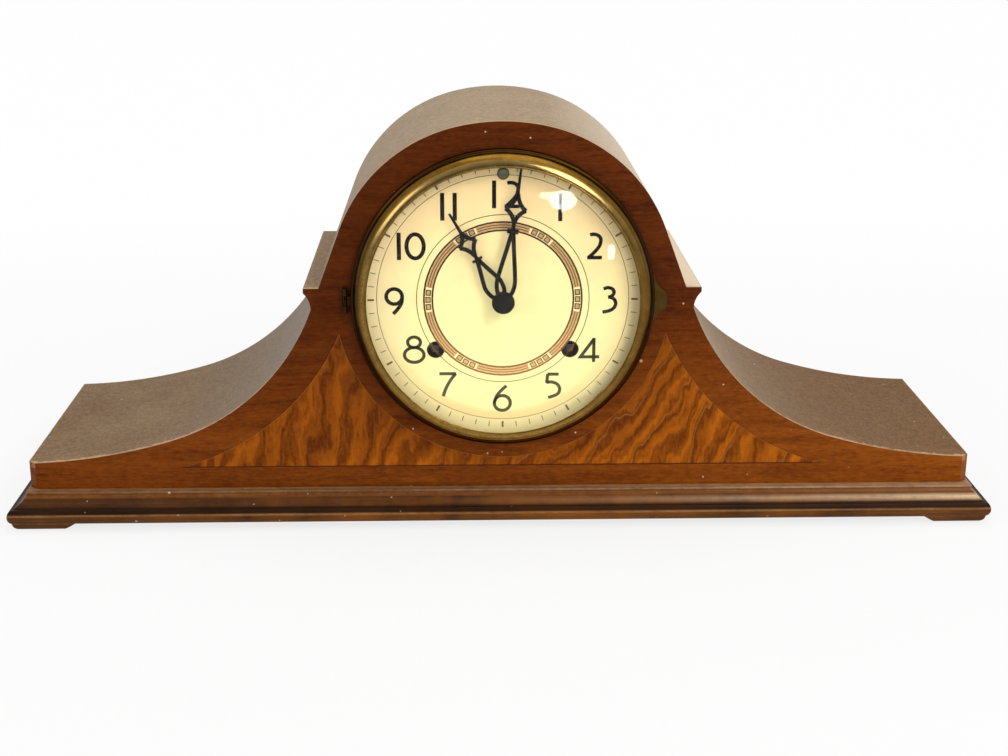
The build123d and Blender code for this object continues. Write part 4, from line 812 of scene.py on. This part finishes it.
coat(ground_steel, *(nodes[name] for name in steel_nodes))
coat(dark_steel, nodes["time_winding_arbor"], nodes["strike_winding_arbor"])
coat(blued, nodes["mainsprings"], nodes["coil_gong"])
coat(regulator_brass, nodes["regulator_arbor"])

# Gong stand: a japanned iron casting screwed to the base board, with the coiled gong clamped
# in its post.


def japanned():
    material, shader, place = finish("japanned_iron")
    rough_cast = place.noise(2.0, 5.0, 0.7)
    colour = rough_cast.over(0.6, 0.4).blend(tone(0.010, 0.010, 0.011), tone(0.045, 0.042, 0.040))
    feed(shader, {
        "Base Color": colour, "Roughness": rough_cast * 0.3 + 0.3, "Specular IOR Level": 0.5,
        "Normal": rough_cast.bump(0.15, 0.6),
    })
    return material


coat(japanned(), nodes["gong_stand"])

# Hands: blackened steel, pressed out as fine wires. Each leaves the hub in a pear loop, crosses
# at a bar, opens into a hollow-sided diamond and ends in a spike. A domed nut holds them.


def enamel():
    material, shader, place = finish("black_enamel")
    worn = place.noise(2.5, 4.0, 0.7)
    colour = worn.over(0.62, 0.3).blend(tone(0.004, 0.003, 0.002), tone(0.030, 0.024, 0.016))
    feed(shader, {
        "Base Color": colour, "Roughness": worn * 0.25 + 0.32, "Specular IOR Level": 0.05,
        "Normal": worn.bump(0.03, 0.4),
    })
    return material


black_enamel = enamel()
wire_width = 2.2
hub_radius, hub_bore = 4.2, 2.0
wire_section = ((-1.0, 0.0), (-1.0, 0.55), (-0.55, 1.0), (0.55, 1.0), (1.0, 0.55), (1.0, 0.0))


def bend(start, first, second, end):
    """Points on a curve that leaves start towards first and reaches end from second."""
    points = []
    steps = 10
    for t in (k / steps for k in range(steps + 1)):
        weights = ((1 - t) ** 3, 3 * t * (1 - t) ** 2, 3 * t * t * (1 - t), t ** 3)
        drawn = [Vector(spot) * weight for spot, weight in zip((start, first, second, end), weights)]
        points.append(sum(drawn, Vector((0.0, 0.0))))
    return points


def rail(path, widths, back_y, thick):
    """A flat wire with a rounded face along a path: widths has one width, or one at each end."""
    flat, _ = pen(path, 1.0, 0.0)
    count = len(flat) // 2
    rings = []
    for k in range(count):
        right, left = Vector(flat[2 * k]), Vector(flat[2 * k + 1])
        middle, half = (right + left) / 2, (left - right) / 2
        wide = widths[0] + (widths[-1] - widths[0]) * k / (count - 1)
        ring = []
        for across, up in wire_section:
            spot = middle + half * (across * wide)
            ring.append((spot.x, back_y - up * thick, spot.z))
        rings.append(ring)
    return rings_joined(rings)


def turned_points(points, angle):
    """Points turned clockwise about the dial's middle, as the hands turn."""
    middle = Vector((0.0, 0.0, dial_z))
    turn = Matrix.Rotation(radians(angle), 3, "Y")
    return [tuple(turn @ (Vector(point) - middle) + middle) for point in points]


def hand(name, node, body, angle, loop, bar, diamond, length):
    """A hand in place of a node, drawn upright and then turned by its angle.

    loop is the pear loop's half width and its widest place up the hand; bar is its place, half
    length and width; diamond is its foot, its corner's half width and place, and its top.
    """
    low, high = (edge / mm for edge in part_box(node))
    thick = high.y - low.y
    loop_half, loop_place = loop
    bar_place, bar_half, bar_width = bar
    throat, corner_half, corner_place, top = diamond
    neck = bar_place - loop_place
    parts = [rail(line(-bar_half, bar_place, bar_half, bar_place), (bar_width,), high.y, thick),
             rail(line(0, bar_place - 1.0, 0, throat + 0.6), (2.3, 1.9), high.y, thick),
             rail(line(0, top - 1.4, 0, length), (1.9, 1.2), high.y, thick)]
    for side in (-1, 1):
        loop_side, corner_side = side * loop_half, side * corner_half
        pear = swung((side * 2.2, 2.6), (loop_side * 0.86, loop_place * 0.55), (loop_side, loop_place),
                     (loop_side * 0.80, loop_place + neck * 0.25),
                     (loop_side * 0.38, loop_place + neck * 0.66), (side * 0.3, bar_place))
        lower = bend((side * 0.2, throat), (side * 0.5, throat + 2.4),
                     (corner_side * 0.42, corner_place - 1.6), (corner_side, corner_place))
        upper = bend((corner_side, corner_place), (corner_side * 0.42, corner_place + 1.6),
                     (side * 0.5, top - 2.8), (side * 0.2, top))
        parts += [rail(path, (wire_width,), high.y, thick) for path in (pear, lower, upper)]
    hub = [(hub_radius, 0.0), (hub_radius, thick * 0.7), (hub_radius - 0.3, thick), (hub_bore, thick),
           (hub_bore, 0.0), (hub_radius, 0.0)]
    parts.append(spun(hub, (0.0, high.y, dial_z), 40))
    points, faces = gathered(parts)
    made = mesh_piece(name, turned_points(points, angle), faces, black_enamel, body, "black_steel")
    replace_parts(smooth(made), node)


hand("hour_hand_wire", "hour_hand", "hour_work", angle=329.1, loop=(4.6, 10.3), bar=(26.2, 2.9, 1.4),
     diamond=(28.6, 4.9, 36.1, 42.4), length=54.6)
hand("minute_hand_wire", "minute_hand", "minute_work", angle=7.3, loop=(4.7, 11.0), bar=(38.3, 3.0, 2.6),
     diamond=(42.8, 5.4, 49.8, 58.2), length=71.0)

nut_low, nut_high = (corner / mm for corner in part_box("hand_nut"))
nut_reach = nut_high.y - nut_low.y
nut_radius = (nut_high.x - nut_low.x) / 2
nut_round, nut_side, nut_bore = 0.9, 0.35, 0.05
nut_profile = [(nut_bore, 0.0), (nut_radius, 0.0), (nut_radius, nut_reach * nut_side)]
for t in (0.4, 0.8, 1.2, pi / 2):
    nut_profile.append((nut_radius - nut_round * (1 - cos(t)), nut_reach * (nut_side + 0.5 * sin(t))))
nut_profile += [(2.0, nut_reach * 0.97), (nut_bore, nut_reach)]
nut = smooth(mesh_piece("hand_nut_domed", *spun(nut_profile, (0.0, nut_high.y, dial_z), 56),
                        black_enamel, "minute_work", "black_steel"))
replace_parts(nut, "hand_nut")

# Bezel: spun from sheet brass with a bead, soldered to its hinge strap on the left and to a finger
# tab on the right. Lacquer has gone olive brown, with a painted highlight on the crest and the top
# arcs, and painted shade on its outer edge and on its left and right sides.


def bezel_finish():
    material, shader, place = finish("aged_bezel_brass")
    across, up, radius = from_dial_middle(place)
    stain = place.noise(9.0, 5.0, 0.7)
    fine = place.noise(1.0, 4.0, 0.7)
    aged = (stain * 0.7 + fine * 0.35).over(0.52, 0.5)
    colour = aged.blend(tone(0.060, 0.027, 0.0030), tone(0.27, 0.140, 0.0170))
    # painted shade on the bezel's left side
    left = (1 - across.over(-60.0, 50.0)) * 0.8
    colour = left.blend(colour, tone(0.022, 0.010, 0.003))
    # painted highlight along the bead's crest
    painted_crest_highlight = radius.within(72.4, 75.2, 2.4) * (stain * 0.5 + fine * 0.5).over(0.45, 0.3)
    colour = (painted_crest_highlight * 0.5).blend(colour, tone(0.50, 0.31, 0.085))
    # painted highlight on the ring's upper arcs, which are also given a lower roughness
    painted_sheen = radius.within(73.0, 75.4, 1.6) * up.over(32.0, 46.0)
    colour = (painted_sheen * 0.35).blend(colour, tone(0.76, 0.57, 0.22))
    # painted shade on the bezel's right side
    side = across.over(52.0, 40.0) * 0.5
    colour = side.blend(colour, tone(0.050, 0.022, 0.003))
    # painted shade on the ring's outer edge
    painted_rim_shade = radius.over(78.2, 0.8)
    colour = (painted_rim_shade * 0.85).blend(colour, tone(0.020, 0.008, 0.0015))
    feed(shader, {
        "Base Color": colour, "Metallic": 1.0, "Roughness": stain * 0.22 + 0.13 - painted_sheen * 0.06,
        "Normal": (stain * 0.6 + fine * 0.4).bump(0.06, 0.35),
    })
    return material


bezel_brass = bezel_finish()
tab_brass = brass_finish("tab_brass", tone(0.034, 0.018, 0.004), tone(0.105, 0.062, 0.015), 0.40)
hinge_brass = brass_finish("hinge_brass", tone(0.016, 0.008, 0.003), tone(0.060, 0.034, 0.010), 0.45)
coat(tab_brass, nodes["bezel_tab"])
coat(hinge_brass, nodes["bezel_hinge_leaf"])
coat(bezel_brass, nodes["glass_clips"])

_, ring_corner = (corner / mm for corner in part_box("bezel_ring"))
outer_radius, ring_back = ring_corner.x, ring_corner.y
# The ring's section: how far in from its outer edge, and how far forward of its back.
inner_wall, lip_reach, rim_reach = -4.2, 9.5, 3.6
lip = [(inner_wall, lip_reach), (-8.2, lip_reach), (-8.5, 9.9), (-8.55, 10.5), (-8.3, 10.85), (-7.7, 10.9)]
slope = [(-6.6, 10.55), (-5.2, 9.85), (-3.9, 8.9), (-2.8, 7.75), (-2.0, 6.5), (-1.5, 5.3), (-1.35, 4.7)]
bead = [(-0.9, 4.35), (-0.35, 4.1), (0.0, rim_reach)]
ring_outline = [(inner_wall, 0.0), *lip, *slope, *bead, (0.0, 0.0), (inner_wall, 0.0)]
ring_profile = [(outer_radius + inward, reach) for inward, reach in ring_outline]
ring_skin = spun(ring_profile, (0.0, ring_back, dial_z), 180)

bezel_joint = next(joint for joint in frame["record"]["behaviour"]["joints"] if joint["name"] == "bezel_open")
pivot_x, pivot_y = (place / mm for place in bezel_joint["pos_m"][:2])
pin_radius, knuckle_radius = 0.7, 1.3
knuckle_half, knuckle_round = 2.5, 0.1
face_radius, side_half = knuckle_radius - knuckle_round, knuckle_half - knuckle_round
knuckle_profile = [(pin_radius, -knuckle_half), (face_radius, -knuckle_half), (knuckle_radius, -side_half),
                   (knuckle_radius, side_half), (face_radius, knuckle_half), (pin_radius, knuckle_half),
                   (pin_radius, -knuckle_half)]
knuckle_skin = spun(knuckle_profile, (pivot_x, pivot_y, dial_z), 32, (0, 0, 1))
strap_half = 0.6
strap_ends = (pivot_x + 0.9, 0.6 - outer_radius)
strap_corners = [(-strap_half, -knuckle_half), (strap_half, -knuckle_half),
                 (strap_half, knuckle_half), (-strap_half, knuckle_half)]
strap_rings = [[(x, pivot_y + y, dial_z + z) for y, z in strap_corners] for x in strap_ends]
bezel_skin = gathered([ring_skin, knuckle_skin, rings_joined(strap_rings)])
bezel = smooth(mesh_piece("bezel_ring_spun", *bezel_skin, bezel_brass, "bezel", "aged_brass"), 50.0)
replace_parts(bezel, "bezel_ring")

# Glass: a disc of window glass sagged over a form to a low dome, clear and a little grey, held
# behind the bezel's lip by four brass clips. It throws back the room's windows.


def lay_over(material, shader, over, share):
    """Lays another shader over a material's own, by a share."""
    both = over.node("MixShader", {}, {0: share, 1: Wire(over.tree, shader.outputs[0]), 2: over})
    surface = next(n for n in material.node_tree.nodes if n.type == "OUTPUT_MATERIAL")
    feed(surface, {"Surface": both})


def glass_finish():
    """Clear glass that lets the lamps' light straight through to the dial."""
    material, shader, place = finish("clear_glass")
    feed(shader, {
        "Base Color": tone(0.98, 0.99, 0.98), "Roughness": 0.015, "IOR": 1.2,
        "Transmission Weight": 1.0,
    })
    shadow = place.node("LightPath", {}, {}, "Is Shadow Ray")
    open_way = place.node("BsdfTransparent", {}, {"Color": tone(0.97, 0.98, 0.975)})
    lay_over(material, shader, open_way, shadow)
    return material


glass_low, glass_high = (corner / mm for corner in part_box("bezel_glass"))
glass_radius = (glass_high.x - glass_low.x) / 2
rim_inset, front_clearance = 1.5, 0.15
rim_y = glass_high.y - rim_inset
rise = rim_y - (cad_low.y / mm + front_clearance)
glass_thick = 1.4
dome_steps = 26
outer_face = [(0.02, rise)]
for share in (k / dome_steps for k in range(1, dome_steps + 1)):
    outer_face.append((glass_radius * share, rise * (1 - share ** 2)))
inner_face = [(radius, reach - glass_thick) for radius, reach in reversed(outer_face)]
dome_skin = spun(outer_face + inner_face, (0.0, rim_y, dial_z), 128)
dome = smooth(mesh_piece("glass_dome", *dome_skin, glass_finish(), "bezel", "clear_glass"), 60.0)
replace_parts(dome, "bezel_glass")

# Studio: a white floor, a white room that is darker in front of the clock, lamps round it, three
# small ones of them for the panes that glint on the glass, and the camera where the photograph
# was taken from. None of it belongs to the clock.

floor_half = 9.0
floor_corners = [(x * floor_half, y * floor_half, 0) for x, y in ((-1, -1), (1, -1), (1, 1), (-1, 1))]
floor_mesh = bpy.data.meshes.new("floor")
floor_mesh.from_pydata(floor_corners, [], [(0, 1, 2, 3)])
floor = bpy.data.objects.new("floor", floor_mesh)
bpy.context.scene.collection.objects.link(floor)


def ways_of_light(tree):
    """What the camera sees straight, in a mirror and through glass, as three masks."""
    seen = Wire(tree).node("LightPath", {}, {}, "Is Camera Ray")
    return seen, seen.other("Is Glossy Ray"), seen.other("Is Transmission Ray")


def floor_finish():
    """White paper, which glows where it is looked at and only shades where the clock stands."""
    material, shader, place = finish("white_floor")
    feed(shader, {"Base Color": tone(0.86, 0.86, 0.86), "Roughness": 0.9, "Specular IOR Level": 0.0})
    across, back, _ = place.parts()
    away = (across * across * 0.3 + back * back) ** 0.5
    white = away.over(420.0, 640.0) * 0.20 + 0.79
    seen, mirrored, through = ways_of_light(place.tree)
    glow = place.node("Emission", {}, {"Color": tone(1.0, 1.0, 1.0), "Strength": 1.0})
    lay_over(material, shader, glow, (seen + mirrored + through).held() * white)
    return material


coat(floor_finish(), floor)

room = bpy.data.worlds.new("room")
bpy.context.scene.world = room
room.use_nodes = True
sky = room.node_tree.nodes["Background"]
seen, mirrored, through = ways_of_light(room.node_tree)
heading_back = seen.node("TexCoord", {}, {}, "Generated").parts()[1]
dark_in_front = 1 - (0 - heading_back).over(0.55, 0.5) * 0.8
direct = (seen + mirrored * dark_in_front + through).held()
lit_only = 1 - (seen + mirrored + through).held()
feed(sky, {"Color": tone(1.0, 1.0, 1.0), "Strength": direct + lit_only * 0.5})


def lamp(name, place, wide, tall, power, target=(0.0, -0.06, 0.1)):
    """A soft lamp that faces a place on the clock, all in metres and watts."""
    light = bpy.data.lights.new(name, "AREA")
    light.shape = "RECTANGLE"
    light.size = wide
    light.size_y = tall
    light.energy = power
    made = bpy.data.objects.new(name, light)
    bpy.context.scene.collection.objects.link(made)
    made.location = place
    made.rotation_euler = (Vector(target) - Vector(place)).to_track_quat("-Z", "Y").to_euler()
    return made


lamp("window_right", (1.1, -1.5, 1.5), 0.9, 0.9, 17.0)
lamp("window_left", (-1.5, -1.1, 1.0), 0.8, 0.8, 6.0)
lamp("ceiling", (0.2, 0.1, 1.7), 1.6, 1.2, 9.0)
panes = (lamp("pane_wide", (0.365, -2.05, 0.150), 0.14, 0.105, 2.3, (0.032, -0.077, 0.182)),
         lamp("pane_slim", (0.285, -2.06, 0.175), 0.090, 0.040, 0.26, (0.022, -0.077, 0.185)),
         lamp("pane_low", (0.320, -0.98, 0.020), 0.020, 0.052, 0.15, (0.057, -0.077, 0.154)))
for pane in panes:
    pane.data.shape = "ELLIPSE"
    pane.visible_diffuse = False

eye = Vector((-23.5, -884.2, 344.2)) * mm
yaw, pitch, roll = 0.0296, -0.3101, 0.0028
focal_pixels, photo_pixels = 1599.4, 1008
ahead = Vector((sin(yaw) * cos(pitch), cos(yaw) * cos(pitch), sin(pitch)))
level = Vector((cos(yaw), -sin(yaw), 0.0))
upward = level.cross(ahead)
right = level * cos(roll) + upward * sin(roll)
upward = upward * cos(roll) - level * sin(roll)
view = bpy.data.cameras.new("camera")
view.sensor_width = 36.0
view.lens = focal_pixels / photo_pixels * view.sensor_width
view.clip_start = 0.02
camera = bpy.data.objects.new("camera", view)
bpy.context.scene.collection.objects.link(camera)
camera.matrix_world = Matrix((right, upward, -ahead)).transposed().to_4x4()
camera.location = eye
bpy.context.scene.camera = camera
bpy.context.scene.view_settings.view_transform = "Standard"
